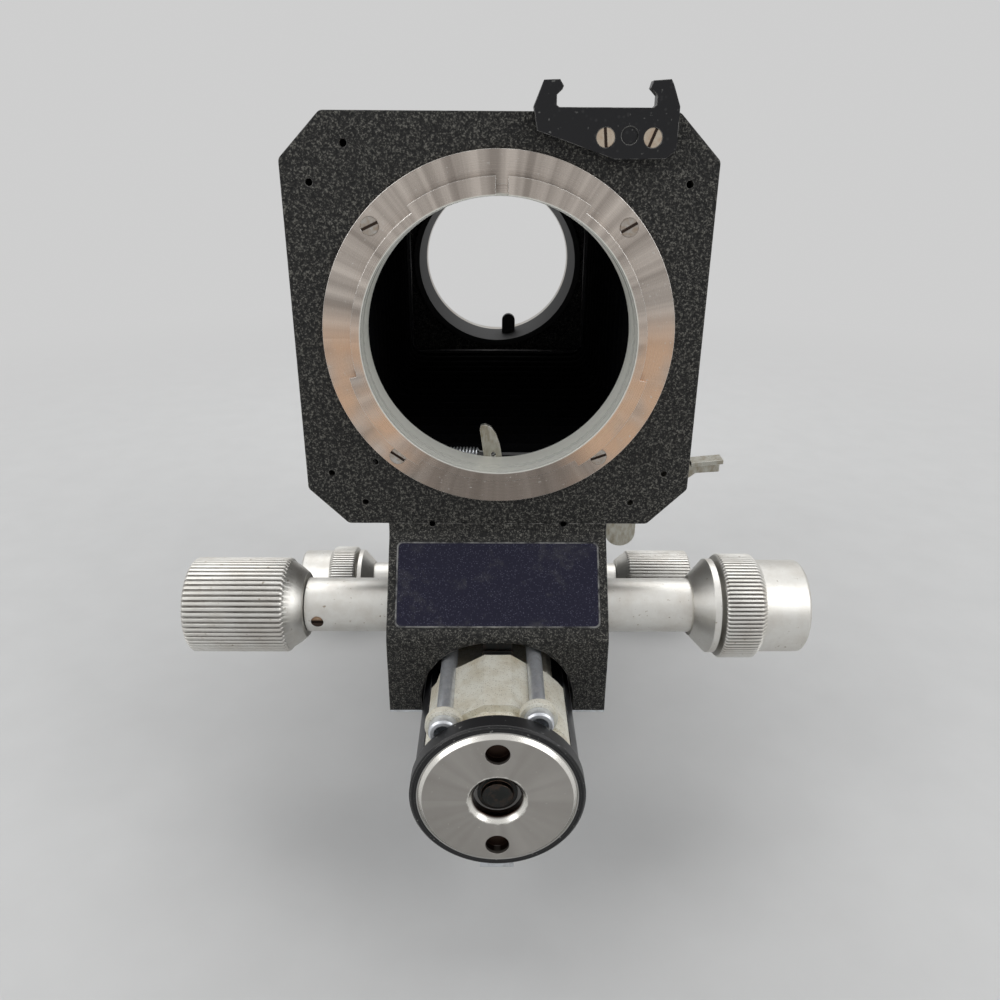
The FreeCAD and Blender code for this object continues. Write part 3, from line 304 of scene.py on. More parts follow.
def black_satin():
    """Smooth black finish with a faint pebble, dust specks and thin bare edges."""
    paint = Finish("black_satin", (0.012, 0.012, 0.013), 0.0, 0.38)
    paint.set("Specular IOR Level", 0.35)
    tips, pebble = paint.grains(0.7, 0.25)
    specks = paint.span(paint.noise(0.4, 1.0), 0.72, 0.78)
    tone = paint.mix(specks, (0.006, 0.006, 0.0075), (0.12, 0.12, 0.115))
    tone = paint.mix(paint.maths("MULTIPLY", tips, 0.35), tone, (0.06, 0.06, 0.06))
    worn = paint.span(paint.noise(1.8, 3.0), 0.40, 0.52)
    rub = paint.maths("MULTIPLY", paint.edges(0.22, 0.05, 0.2), worn)
    paint.feed(paint.mix(rub, tone, (0.40, 0.39, 0.37)), "Base Color")
    paint.feed(paint.span(paint.noise(5.0, 3.0), 0.3, 0.7, 0.30, 0.46), "Roughness")
    paint.feed(paint.bump(pebble, 0.02, 0.5, paint.rounded(0.22)), "Normal")
    return paint.material


def turned_black(disc):
    """Black ring turned on a lathe round the disc's box, with dust in its grooves, a painted highlight round
    its inner edge and paler rubbed edges.
    """
    paint = Finish("turned_black", (0.014, 0.014, 0.015), 0.0, 0.3)
    silver_r = (disc[1].x - disc[0].x) / 2
    radius, _ = paint.about_y(0.0, (disc[0].z + disc[1].z) / 2)
    grooves = paint.line_noise(radius, 2600.0)
    specks = paint.span(paint.noise(0.4, 1.0), 0.70, 0.76)
    paint.set("Specular IOR Level", 0.35)
    tone = paint.mix(paint.span(grooves, 0.45, 0.6), (0.004, 0.004, 0.005), (0.014, 0.014, 0.015))
    tone = paint.mix(specks, tone, (0.16, 0.16, 0.15))
    # painted highlight: pale all round the inner edge by radius, joined with paler rubbed edges
    pale_zone = paint.maths("MAXIMUM", paint.span(radius, silver_r + 0.28 * MM, silver_r + 0.14 * MM),
                       paint.maths("MULTIPLY", paint.edges(0.2, 0.05, 0.2), 0.5))
    paint.feed(paint.mix(pale_zone, tone, (0.46, 0.45, 0.43)), "Base Color")
    paint.feed(paint.span(grooves, 0.3, 0.7, 0.22, 0.40), "Roughness")
    paint.feed(paint.bump(grooves, 0.012, 0.6, paint.rounded(0.25)), "Normal")
    return paint.material


def satin_chrome():
    """Blasted and chromed brass: pale warm grey with a fine grain, small stains and painted shade in the
    flute grooves.
    """
    metal = Finish("satin_chrome", (0.72, 0.705, 0.67), 1.0, 0.36)
    grain = metal.noise(0.16, 3.0, 0.7)
    stains = metal.span(metal.noise(4.0, 4.0, 0.65), 0.40, 0.72)
    pits = metal.span(metal.noise(0.45, 2.0), 0.68, 0.76)
    tone = metal.mix(stains, (0.74, 0.73, 0.695), (0.62, 0.59, 0.54))
    tone = metal.mix(pits, tone, (0.38, 0.33, 0.27))
    # painted shade: the flute grooves darkened by their depth, a little patchy with noise
    groove = metal.add("ShaderNodeAttribute", attribute_name="groove").outputs["Fac"]
    patchy_noise = metal.span(metal.noise(3.0, 3.0), 0.3, 0.7, 0.72, 0.98)
    tone = metal.mix(metal.maths("MULTIPLY", groove, patchy_noise), tone, (0.055, 0.045, 0.036))
    metal.feed(metal.mix(metal.edges(0.14, 0.06, 0.2), tone, (0.80, 0.79, 0.77)), "Base Color")
    metal.feed(metal.span(grain, 0.3, 0.7, 0.34, 0.52), "Roughness")
    metal.feed(metal.bump(grain, 0.02, 0.7, metal.rounded(0.2)), "Normal")
    return metal.material


def turned_steel(name, box, bore_r):
    """Lathe-turned ring: fine grooves round the axis, patches of painted copper reflection low on the sides,
    painted shade at its foot, bright edges.
    """
    metal = Finish(name, (0.42, 0.40, 0.37), 1.0, 0.3)
    middle = (box[0] + box[1]) / 2
    radius, turn = metal.about_y(middle.x, middle.z)
    ring = metal.line_noise(radius, 7000.0)
    wedges = metal.line_noise(turn, 9.0, 4.0)
    # painted reflection: copper patches on the lower left and lower right of the ring
    low = metal.span(metal.maths("SINE", turn), 0.25, -0.1, smooth=True)
    aside = metal.span(metal.maths("ABSOLUTE", metal.maths("COSINE", turn)), 0.30, 0.62, smooth=True)
    patches = metal.span(metal.noise(9.0, 3.0), 0.30, 0.52)
    painted_copper_reflection = metal.maths("MULTIPLY", metal.maths("MULTIPLY", low, aside), patches)
    tone = metal.mix(metal.span(wedges, 0.3, 0.7), (0.36, 0.315, 0.28), (0.66, 0.59, 0.53))
    tone = metal.mix(metal.maths("MULTIPLY", painted_copper_reflection, 0.9), tone, (0.74, 0.49, 0.33))
    # painted shade: darker towards the bottom of the ring
    foot = metal.span(metal.maths("SINE", turn), -0.70, -0.93, smooth=True)
    tone = metal.mix(metal.maths("MULTIPLY", foot, 0.75), tone, (0.20, 0.165, 0.14))
    bore = metal.span(radius, bore_r + 0.1 * MM, bore_r - 0.1 * MM)
    tone = metal.mix(bore, tone, (0.84, 0.84, 0.77))
    metal.feed(metal.span(bore, 0.0, 1.0, 1.0, 0.25), "Metallic")
    specks = metal.span(metal.noise(0.35, 2.0), 0.68, 0.76)
    tone = metal.mix(metal.maths("MULTIPLY", specks, 0.6), tone, (0.72, 0.70, 0.66))
    metal.feed(metal.mix(metal.edges(0.16, 0.04, 0.18), tone, (0.92, 0.91, 0.88)), "Base Color")
    metal.feed(metal.span(ring, 0.3, 0.7, 0.22, 0.40), "Roughness")
    metal.set("Anisotropic", 0.6)
    metal.set("Anisotropic Rotation", 0.25)
    metal.feed(metal.add("ShaderNodeTangent", direction_type="RADIAL", axis="Y").outputs[0], "Tangent")
    metal.feed(metal.bump(ring, 0.006, 0.5, metal.rounded(0.16)), "Normal")
    return metal.material


def camera_ring(box, steel_y):
    """Ring blacked inside and in front, bare and turned from the plane steel_y to its register."""
    metal = Finish("camera_ring", (0.5, 0.49, 0.47), 1.0, 0.3)
    middle = (box[0] + box[1]) / 2
    radius, _ = metal.about_y(middle.x, middle.z)
    ring = metal.line_noise(radius, 7000.0)
    pale_zone = metal.span(metal.part("Y"), steel_y - 0.05 * MM, steel_y + 0.05 * MM)
    stains = metal.span(metal.noise(5.0, 3.0), 0.35, 0.7)
    tone = metal.mix(stains, (0.54, 0.53, 0.50), (0.46, 0.42, 0.37))
    metal.feed(metal.mix(pale_zone, (0.006, 0.006, 0.007), tone), "Base Color")
    metal.feed(pale_zone, "Metallic")
    metal.feed(metal.span(pale_zone, 0.0, 1.0, 0.6, 0.3), "Roughness")
    metal.feed(metal.bump(ring, 0.006, 0.5, metal.rounded(0.16)), "Normal")
    return metal.material


def cast_core():
    """Light cast alloy, creamy and grainy as it came from the mould, bright along its edges."""
    metal = Finish("cast_core", (0.74, 0.70, 0.60), 0.2, 0.5)
    tips, sand = metal.grains(0.34, 0.9)
    stains = metal.span(metal.noise(3.0, 4.0, 0.65), 0.40, 0.68)
    tone = metal.mix(stains, (0.86, 0.84, 0.74), (0.62, 0.56, 0.43))
    tone = metal.mix(metal.maths("MULTIPLY", tips, 0.8), tone, (0.34, 0.30, 0.22))
    metal.feed(metal.mix(metal.edges(0.2, 0.04, 0.18), tone, (0.88, 0.86, 0.80)), "Base Color")
    metal.feed(metal.span(stains, 0.0, 1.0, 0.40, 0.58), "Roughness")
    metal.feed(metal.bump(sand, 0.05, 0.7, metal.rounded(0.3)), "Normal")
    return metal.material


def polished_steel():
    """Ground steel with faint drawn lines along Y and a film of old oil."""
    metal = Finish("polished_steel", (0.56, 0.58, 0.61), 0.75, 0.2)
    lines = metal.noise(0.3, 3.0, 0.6, metal.stretched(1.0, 0.06, 1.0))
    oil = metal.span(metal.noise(0.9, 4.0, 0.65), 0.42, 0.66)
    metal.feed(metal.mix(oil, (0.70, 0.725, 0.76), (0.54, 0.55, 0.565)), "Base Color")
    metal.feed(metal.span(oil, 0.0, 1.0, 0.30, 0.48), "Roughness")
    metal.feed(metal.bump(lines, 0.008, 0.5, metal.rounded(0.15)), "Normal")
    return metal.material


def satin_disc(box):
    """Warm grey faced disc: bright bevel at the rim, bright worn edge at the middle, painted shade in the
    recess behind the face.
    """
    metal = Finish("satin_disc", (0.36, 0.34, 0.315), 1.0, 0.42)
    middle = (box[0] + box[1]) / 2
    reach = (box[1].x - box[0].x) / 2
    radius, turn = metal.about_y(middle.x, middle.z)
    rim = metal.span(radius, reach - 0.75 * MM, reach - 0.62 * MM)
    ragged = metal.maths("ADD", radius, metal.maths("MULTIPLY", metal.noise(0.8, 4.0, 0.7), 1.1 * MM))
    worn = metal.span(ragged, 5.75 * MM, 5.45 * MM)
    bright = metal.maths("MAXIMUM", rim, worn)
    mist = metal.span(metal.noise(6.0, 3.0), 0.35, 0.7)
    rays = metal.span(metal.line_noise(turn, 3.0, 1.0), 0.35, 0.65, 0.0, 0.5)
    tone = metal.mix(metal.maths("ADD", metal.maths("MULTIPLY", mist, 0.5), rays),
                     (0.34, 0.322, 0.298), (0.43, 0.41, 0.385))
    specks = metal.span(metal.noise(0.35, 2.0), 0.70, 0.78)
    tone = metal.mix(specks, tone, (0.56, 0.54, 0.50))
    tone = metal.mix(bright, tone, (0.86, 0.84, 0.79))
    # painted shade: dark where the disc lies deeper than its face, inside the rim band
    deep = metal.span(metal.part("Y"), box[0].y + 0.45 * MM, box[0].y + 0.75 * MM)
    hollow = metal.maths("MULTIPLY", deep, metal.span(radius, reach - 1.6 * MM, reach - 1.8 * MM))
    metal.feed(metal.mix(hollow, tone, (0.035, 0.022, 0.017)), "Base Color")
    metal.feed(metal.span(bright, 0.0, 1.0, 0.44, 0.26), "Roughness")
    metal.feed(metal.bump(metal.noise(0.16, 3.0, 0.7), 0.01, 0.5, metal.rounded(0.15)), "Normal")
    return metal.material


def screw_plate(name, face_y, new, old):
    """Plated screw heads that face -Y: stained faces, with painted shade in the slots and round the rim."""
    metal = Finish(name, new, 1.0, 0.3)
    worn = metal.span(metal.noise(0.6, 3.0, 0.6), 0.35, 0.65)
    # painted shade: dark in the slots by depth behind the face, and along the rim edges
    slot_shade = metal.span(metal.part("Y"), face_y + 0.08 * MM, face_y + 0.16 * MM)
    rim = metal.maths("MULTIPLY", metal.edges(0.2, 0.05, 0.2), 0.75)
    tone = metal.mix(worn, new, old)
    metal.feed(metal.mix(metal.maths("MAXIMUM", slot_shade, rim), tone, (0.05, 0.035, 0.028)), "Base Color")
    metal.feed(metal.span(worn, 0.0, 1.0, 0.24, 0.42), "Roughness")
    metal.feed(metal.bump(worn, 0.012, 0.5, metal.rounded(0.1)), "Normal")
    return metal.material


def blackened_steel():
    """Blued steel gone brown in places, bright at the edges."""
    metal = Finish("blackened_steel", (0.07, 0.065, 0.06), 1.0, 0.34)
    rust = metal.span(metal.noise(0.8, 4.0, 0.65), 0.50, 0.66)
    edge = metal.edges(0.16, 0.04, 0.2)
    tone = metal.mix(rust, (0.030, 0.031, 0.030), (0.060, 0.046, 0.038))
    metal.feed(metal.mix(edge, tone, (0.30, 0.20, 0.15)), "Base Color")
    metal.feed(metal.span(rust, 0.0, 1.0, 0.34, 0.55), "Roughness")
    metal.feed(metal.bump(metal.noise(0.3, 3.0), 0.012, 0.5, metal.rounded(0.16)), "Normal")
    return metal.material


def plated_lever():
    """Stamped steel sheet, nickel plated, with a dull yellow cast and scuffs."""
    metal = Finish("plated_lever", (0.40, 0.38, 0.33), 1.0, 0.34)
    scuffs = metal.noise(0.7, 4.0, 0.7, metal.stretched(1.0, 1.0, 0.4))
    tone = metal.mix(metal.span(scuffs, 0.4, 0.66), (0.44, 0.43, 0.38), (0.28, 0.25, 0.19))
    metal.feed(metal.mix(metal.edges(0.16, 0.04, 0.18), tone, (0.82, 0.81, 0.76)), "Base Color")
    metal.feed(metal.span(scuffs, 0.3, 0.7, 0.26, 0.46), "Roughness")
    metal.feed(metal.bump(scuffs, 0.01, 0.5, metal.rounded(0.2)), "Normal")
    return metal.material


def bearing_brass():
    """Turned brass, dulled by oil."""
    metal = Finish("bearing_brass", (0.56, 0.42, 0.22), 1.0, 0.36)
    dull = metal.span(metal.noise(1.5, 3.0), 0.35, 0.7)
    metal.feed(metal.mix(dull, (0.60, 0.46, 0.25), (0.38, 0.29, 0.17)), "Base Color")
    metal.feed(metal.span(dull, 0.0, 1.0, 0.28, 0.46), "Roughness")
    metal.feed(metal.bump(metal.noise(0.2, 2.0), 0.006, 0.5, metal.rounded(0.12)), "Normal")
    return metal.material


def bellows_cloth():
    """Black leathercloth with a fine pebbled grain, greyer where the folds rub."""
    cloth = Finish("bellows_cloth", (0.012, 0.012, 0.013), 0.0, 0.6)
    tips, pebbles = cloth.grains(0.5, 0.6)
    lumps = cloth.noise(0.9, 3.0, 0.6)
    rub = cloth.span(cloth.edges(0.8, 0.01, 0.2), 0.2, 1.0)
    tone = cloth.mix(cloth.span(lumps, 0.35, 0.7), (0.008, 0.008, 0.009), (0.020, 0.0195, 0.019))
    tone = cloth.mix(cloth.maths("MULTIPLY", tips, 0.4), tone, (0.045, 0.044, 0.042))
    cloth.feed(cloth.mix(rub, tone, (0.05, 0.048, 0.045)), "Base Color")
    cloth.feed(cloth.span(lumps, 0.3, 0.7, 0.50, 0.70), "Roughness")
    cloth.set("Sheen Weight", 0.1)
    cloth.set("Sheen Roughness", 0.5)
    height = cloth.maths("ADD", pebbles, cloth.maths("MULTIPLY", lumps, 0.5))
    cloth.feed(cloth.bump(height, 0.08, 0.6), "Normal")
    return cloth.material


def bellows_lining():
    """Dead black lining of the folds, with a little fluff: partly the lining's own black and partly painted
    shade, darker than the outer cloth.
    """
    cloth = Finish("bellows_lining", (0.003, 0.003, 0.004), 0.0, 0.95)
    fluff = cloth.noise(0.4, 3.0, 0.7)
    cloth.feed(cloth.mix(cloth.span(fluff, 0.4, 0.75), (0.0020, 0.0022, 0.0030), (0.006, 0.006, 0.007)),
               "Base Color")
    cloth.set("Specular IOR Level", 0.1)
    cloth.feed(cloth.bump(fluff, 0.05, 0.4), "Normal")
    return cloth.material


def label_enamel():
    """Blue-black enamel with a fine grey grain and faint smears of dust."""
    paint = Finish("label_enamel", (0.012, 0.012, 0.026), 0.0, 0.34)
    paint.set("Specular IOR Level", 0.25)
    tips, grains = paint.grains(0.30, 0.8)
    smear = paint.span(paint.noise(4.0, 5.0, 0.7), 0.53, 0.74)
    tone = paint.mix(tips, (0.009, 0.0085, 0.024), (0.085, 0.085, 0.125))
    paint.feed(paint.mix(paint.maths("MULTIPLY", smear, 0.45), tone, (0.10, 0.10, 0.098)), "Base Color")
    paint.feed(paint.span(smear, 0.0, 1.0, 0.36, 0.55), "Roughness")
    paint.feed(paint.bump(grains, 0.01, 0.5), "Normal")
    return paint.material


def label_rim():
    """Edge of the name place: enamel worn through to dull metal in stretches."""
    metal = Finish("label_rim", (0.16, 0.16, 0.16), 0.7, 0.42)
    patchy_noise = metal.span(metal.noise(1.6, 4.0, 0.7), 0.38, 0.62)
    metal.feed(metal.mix(patchy_noise, (0.26, 0.26, 0.255), (0.03, 0.03, 0.034)), "Base Color")
    metal.feed(metal.span(patchy_noise, 0.0, 1.0, 0.34, 0.6), "Roughness")
    metal.feed(metal.bump(patchy_noise, 0.02, 0.4), "Normal")
    return metal.material


def floor_paint():
    """Pale matt sheet that runs out into the background."""
    sheet = Finish("floor_paint", (0.62, 0.62, 0.615), 0.0, 0.7)
    sheet.set("Specular IOR Level", 0.2)
    mottle = sheet.noise(9.0, 3.0)
    tone = sheet.mix(sheet.span(mottle, 0.3, 0.7), (0.61, 0.61, 0.605), (0.63, 0.63, 0.625))
    sheet.feed(tone, "Base Color")
    far = sheet.add("ShaderNodeEmission")
    far.inputs["Color"].default_value = (BACKGROUND, BACKGROUND, BACKGROUND, 1.0)
    radius = sheet.add("ShaderNodeVectorMath", operation="LENGTH")
    sheet.join(sheet.place, radius.inputs[0])
    seen = sheet.add("ShaderNodeLightPath")
    rays = sheet.maths("MAXIMUM", seen.outputs["Is Camera Ray"], seen.outputs["Is Glossy Ray"])
    rays = sheet.maths("MAXIMUM", rays, seen.outputs["Is Transmission Ray"])
    share = sheet.maths("MULTIPLY", sheet.span(radius.outputs["Value"], *FLOOR_FADE, smooth=True), rays)
    blend = sheet.add("ShaderNodeMixShader")
    sheet.join(share, blend.inputs[0])
    sheet.join(sheet.shader.outputs[0], blend.inputs[1])
    sheet.join(far.outputs[0], blend.inputs[2])
    sheet.join(blend.outputs[0], sheet.tree.nodes["Material Output"].inputs["Surface"])
    return sheet.material


# Mesh helpers

def make_piece(name, points, faces, materials, sharp=35.0, face_slots=None):
    mesh = bpy.data.meshes.new(name)
    mesh.from_pydata([tuple(p) for p in points], [], faces)
    mesh.validate()
    for material in materials:
        mesh.materials.append(material)
    if face_slots:
        for polygon, index in zip(mesh.polygons, face_slots):
            polygon.material_index = index
    mesh.shade_smooth()
    mesh.set_sharp_from_angle(angle=math.radians(sharp))
    piece = bpy.data.objects.new(name, mesh)
    bpy.context.scene.collection.objects.link(piece)
    return piece


def bridge(count, rings):
    """Quads between rings of count points that follow each other in one point list."""
    faces = []
    for ring in range(rings - 1):
        for i in range(count):
            j = (i + 1) % count
            a = ring * count
            faces.append((a + i, a + j, a + count + j, a + count + i))
    return faces


def outward(piece):
    """Turns the faces of a closed mesh outward."""
    mesh = bmesh.new()
    mesh.from_mesh(piece.data)
    bmesh.ops.recalc_face_normals(mesh, faces=mesh.faces)
    mesh.to_mesh(piece.data)
    mesh.free()
    return piece


# Knobs

def flute_points(flutes):
    """(angle, share of the flute's depth) round one turn: a land, then a groove."""
    step = 2 * math.pi / flutes
    return [((i + share) * step, depth) for i in range(flutes) for share, depth in FLUTE_PATTERN]


def knob(body, profile, flutes, material):
    """Turned grip in place of a body's knob. A profile gives (distance from the end, radius, flute share)."""
    node = body + "_knob"
    low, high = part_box(node)
    side = 1.0 if high.x > -low.x else -1.0
    end_x = high.x if side > 0 else low.x
    middle = (low + high) / 2
    circle = flute_points(flutes)
    points = []
    depths = []
    for inward, radius, share in profile((high.x - low.x) / MM, (high.y - low.y) / 2 / MM):
        for angle, depth in circle:
            r = (radius - FLUTE_DEPTH * depth * share) * MM
            x = end_x - side * inward * MM
            points.append((x, middle.y + r * math.cos(angle), middle.z + r * math.sin(angle)))
            depths.append(depth * share)
    count = len(circle)
    faces = bridge(count, len(points) // count)
    faces.append(tuple(range(count)))
    faces.append(tuple(reversed(range(len(points) - count, len(points)))))
    piece = outward(make_piece(body + "_grip", points, faces, [material], 32.0))
    # depth of the flute at each point, which satin_chrome darkens as painted shade
    grooves = piece.data.attributes.new("groove", "FLOAT", "POINT")
    grooves.data.foreach_set("value", depths)
    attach(piece, body)
    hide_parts(node)
    return piece


def drive_profile(length, crest):
    """Drive knob in millimetres, from its dished end over the fluted grip to its cone."""
    grip = length - DRIVE_CONE
    dish = crest - DRIVE_RIM
    return [
        (DRIVE_DISH, 0.3 * dish, 0), (DRIVE_DISH, dish - 0.15, 0), (0.12, dish, 0), (0.0, dish + 0.3, 0),
        (0.0, crest - 0.75, 0), (0.1, crest - 0.5, 0.3), (0.33, crest - 0.2, 0.8), (0.6, crest, 1),
        (grip - 0.6, crest, 1), (grip - 0.25, crest - 0.2, 0.8), (grip, crest - 0.5, 0.3),
        (grip + 0.1, crest - 0.7, 0), (grip + 1.5, crest - 1.6, 0), (length - 0.15, KNOB_NECK_R + 0.1, 0),
        (length, KNOB_NECK_R - 0.1, 0), (length, KNOB_NECK_R - 1.0, 0)]


def lock_profile(length, crest):
    """Lock knob in millimetres: smooth end, fluted ring and neck."""
    ring = length - LOCK_NECK
    return [
        (0.0, 2.0, 0), (0.0, LOCK_END_R - 0.9, 0), (0.1, LOCK_END_R - 0.6, 0), (0.4, LOCK_END_R - 0.2, 0),
        (0.8, LOCK_END_R, 0), (LOCK_END - 0.05, LOCK_END_R, 0), (LOCK_END + 0.05, LOCK_END_R + 0.05, 0),
        (LOCK_END + 0.55, LOCK_END_R + 0.6, 0.6), (LOCK_END + 1.05, crest - 0.08, 1),
        (LOCK_END + 1.3, crest, 1), (ring - 0.5, crest, 1), (ring - 0.1, crest - 0.3, 0.6),
        (ring, crest - 0.6, 0), (ring, KNOB_NECK_R + 0.1, 0), (ring + 0.1, KNOB_NECK_R, 0),
        (length, KNOB_NECK_R, 0), (length, 4.0, 0)]


# Bellows

def chamfered_square(half, corner, y):
    """Eight corner points of a square with cut corners, about the lens axis."""
    flat = half - corner
    return [Vector((x, y, LENS_Z + z)) for x, z in (
        (-half, -flat), (-half, flat), (-flat, half), (flat, half),
        (half, flat), (half, -flat), (flat, -half), (-flat, -half))]


def pleat_ring(half, corner, y, sag):
    """A ring with points along its sides, so that the cloth can dip between its corners."""
    corners = chamfered_square(half, corner, y)
    ring = []
    for index, start in enumerate(corners):
        end = corners[(index + 1) % len(corners)]
        steps = 6 if index % 2 == 0 else 2
        for step in range(steps):
            share = step / steps
            point = start.lerp(end, share)
            away = Vector((point.x, 0.0, point.z - LENS_Z)).normalized()
            ring.append(point - away * sag * math.sin(math.pi * share))
    return ring


def bellows_rings(inset):
    """Rings of one skin of the bellows, from the lens end to the camera end."""
    low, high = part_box("bellows")
    crest = high.x - inset
    valley = crest - PLEAT_DEPTH
    slope = (valley + crest) / 2
    shoulder = crest - 0.2 * MM
    foot = valley + 0.12 * MM
    pitch = (high.y - low.y) / PLEATS
    rings = [pleat_ring(valley, VALLEY_CORNER, low.y, 0.0)]
    shape = random.Random(FOLD_SEED)
    for pleat in range(PLEATS):
        centre = low.y + (pleat + 0.5) * pitch
        sag = (0.25 + 0.25 * shape.random()) * MM
        lean = (shape.random() - 0.5) * 0.5 * MM
        if pleat:
            edge = low.y + pleat * pitch
            rings.append(pleat_ring(foot, VALLEY_CORNER, edge - PLEAT_TURN, sag * 0.5))
            rings.append(pleat_ring(valley, VALLEY_CORNER, edge, sag * 0.5))
            rings.append(pleat_ring(foot, VALLEY_CORNER, edge + PLEAT_TURN, sag * 0.5))
        rings.append(pleat_ring(slope, SLOPE_CORNER, centre + lean - pitch * 0.24, sag))
        rings.append(pleat_ring(shoulder, SHOULDER_CORNER, centre + lean - PLEAT_TURN, sag))
        rings.append(pleat_ring(crest, CREST_CORNER, centre + lean, sag))
        rings.append(pleat_ring(shoulder, SHOULDER_CORNER, centre + lean + PLEAT_TURN, sag))
        rings.append(pleat_ring(slope, SLOPE_CORNER, centre + lean + pitch * 0.24, sag))
    rings.append(pleat_ring(valley, VALLEY_CORNER, high.y, 0.0))
    return rings


def bellows(cloth, lining):
    """Pleated tube of two skins closed at both ends, between the lens frame and the rail's camera frame."""
    outer = bellows_rings(0.0)
    inner = bellows_rings(CLOTH_T)
    rings = outer + inner[::-1]
    count = len(rings[0])
    points = [point for ring in rings for point in ring]
    faces = bridge(count, len(rings))
    last = (len(rings) - 1) * count
    for i in range(count):
        j = (i + 1) % count
        faces.append((last + i, last + j, j, i))
    inside = len(outer) * count
    # the inner skin takes the lining, darker than the cloth, partly as painted shade
    slots = [1 if min(face) >= inside else 0 for face in faces]
    piece = outward(make_piece("pleated_bellows", points, faces, [cloth, lining], 60.0, slots))
    smooth = piece.modifiers.new("soft_folds", "SUBSURF")
    smooth.levels = 1
    smooth.render_levels = 1
    apply_modifiers(piece)
    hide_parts("bellows")
    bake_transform(piece)
    return piece


def apply_modifiers(piece):
    """Bakes a piece's modifiers into its mesh."""
    bpy.context.view_layer.update()
    shaped = piece.evaluated_get(bpy.context.evaluated_depsgraph_get())
    mesh = bpy.data.meshes.new_from_object(shaped)
    piece.modifiers.clear()
    piece.data = mesh


# Return spring

def wire(name, path, radius, material):
    """Round wire along a list of points, as a closed mesh."""
    points = []
    previous = None
    for index, point in enumerate(path):
        before = path[max(index - 1, 0)]
        after = path[min(index + 1, len(path) - 1)]
        along = (after - before).normalized()
        across = previous - along * previous.dot(along) if previous else along.orthogonal()
        across.normalize()
        previous = across
        other = along.cross(across)
        for side in range(WIRE_SIDES):
            a = 2 * math.pi * side / WIRE_SIDES
            points.append(point + (across * math.cos(a) + other * math.sin(a)) * radius)
    faces = bridge(WIRE_SIDES, len(path))
    faces.append(tuple(range(WIRE_SIDES)))
    faces.append(tuple(reversed(range(len(points) - WIRE_SIDES, len(points)))))
    return outward(make_piece(name, points, faces, [material], 60.0))


def return_spring(material):
    """Close coil between the hook of its anchor and the eye of the aperture blade."""
    low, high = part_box("return_spring")
    middle = (low + high) / 2
    coil_r = (high.z - low.z) / 2 - SPRING_WIRE_R
    turns = round((high.x - low.x - 2 * SPRING_HOOK) / SPRING_PITCH)
    start_x = low.x + SPRING_HOOK
    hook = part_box("spring_anchor")[1]
    path = [
        Vector((hook.x - 0.5 * MM, middle.y, middle.z - 0.7 * MM)),
        Vector((hook.x - 0.5 * MM, middle.y, middle.z + 0.5 * MM)),
        Vector((low.x + 0.1 * MM, middle.y, middle.z + 0.7 * coil_r))]
    for step in range(turns * COIL_STEPS + 1):
        a = 2 * math.pi * step / COIL_STEPS
        x = start_x + SPRING_PITCH * step / COIL_STEPS
        path.append(Vector((x, middle.y + coil_r * math.sin(a), middle.z + coil_r * math.cos(a))))
    end_x = start_x + SPRING_PITCH * turns
    path.append(Vector((end_x + 0.45 * MM, middle.y, middle.z + 0.3 * coil_r)))
    loop_x = BLADE_EYE_X - SPRING_WIRE_R
    path.append(Vector((loop_x - SPRING_EYE_R, middle.y, middle.z)))
    for step in range(EYE_STEPS + 1):
        a = math.pi - 1.75 * math.pi * step / EYE_STEPS
        path.append(Vector((loop_x + SPRING_EYE_R * math.cos(a), middle.y - 0.12 * MM * step / EYE_STEPS,
                            middle.z + SPRING_EYE_R * math.sin(a))))
    piece = wire("return_coil", path, SPRING_WIRE_R, material)
    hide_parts("return_spring")
    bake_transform(piece)
    return piece


# Name place

def round_rectangle(half_w, half_l, corner, steps=5):
    """Points (across, along) round a rectangle with round corners."""
    points = []
    for sx, sy, first in ((1, 1, 0), (-1, 1, 90), (-1, -1, 180), (1, -1, 270)):
        for step in range(steps + 1):
            a = math.radians(first + 90 * step / steps)
            points.append((sx * (half_w - corner) + corner * math.cos(a),
                           sy * (half_l - corner) + corner * math.sin(a)))
    return points


def slope_of_block():
    """(top, foot, normal) of the flat slope on the front of the block, in the middle plane."""
    mesh = frame["nodes"]["standard_block"].data
    face = max((p for p in mesh.polygons if p.normal.y < -0.4 and p.normal.z > 0.4), key=lambda p: p.area)
    corners = sorted((mesh.vertices[v].co for v in face.vertices), key=lambda point: point.z)
    foot, top = (Vector((0.0, point.y, point.z)) for point in (corners[0], corners[-1]))
    return top, foot, face.normal.copy()


def name_place(rim, enamel):
    """Bare plate on the slope of the block: dark enamel inside a thin worn edge."""
    top, foot, out = slope_of_block()
    down = (foot - top).normalized()
    across = Vector((1.0, 0.0, 0.0))
    half_l = (foot - top).length / 2 - LABEL_MARGIN
    centre = (top + foot) / 2
    # each level is (inset from the outline, lift off the slope)
    levels = (
        (0.0, -0.2 * MM), (0.0, LABEL_T - 0.12 * MM), (0.10 * MM, LABEL_T - 0.02 * MM),
        (0.22 * MM, LABEL_T), (0.32 * MM, LABEL_T - 0.03 * MM), (1.4 * MM, LABEL_T - 0.03 * MM))
    points = []
    for inset, lift in levels:
        for u, v in round_rectangle(LABEL_HALF_W - inset, half_l - inset, LABEL_CORNER - inset * 0.5):
            points.append(centre + across * u - down * v + out * lift)
    count = len(points) // len(levels)
    faces = bridge(count, len(levels))
    slots = [1 if index // count >= 4 else 0 for index in range(len(faces))]
    faces.append(tuple(range(len(points) - count, len(points))))
    slots.append(1)
    faces.append(tuple(reversed(range(count))))
    slots.append(0)
    piece = outward(make_piece("name_place", points, faces, [rim, enamel], 30.0, slots))
    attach(piece, "lens_standard")
    return piece


# Finishes of the carried-over solids

def dress(nodes, material):
    """Gives one material to carried-over solids."""
    for name in nodes:
        node = frame["nodes"][name]
        node.data.materials.clear()
        node.data.materials.append(material)


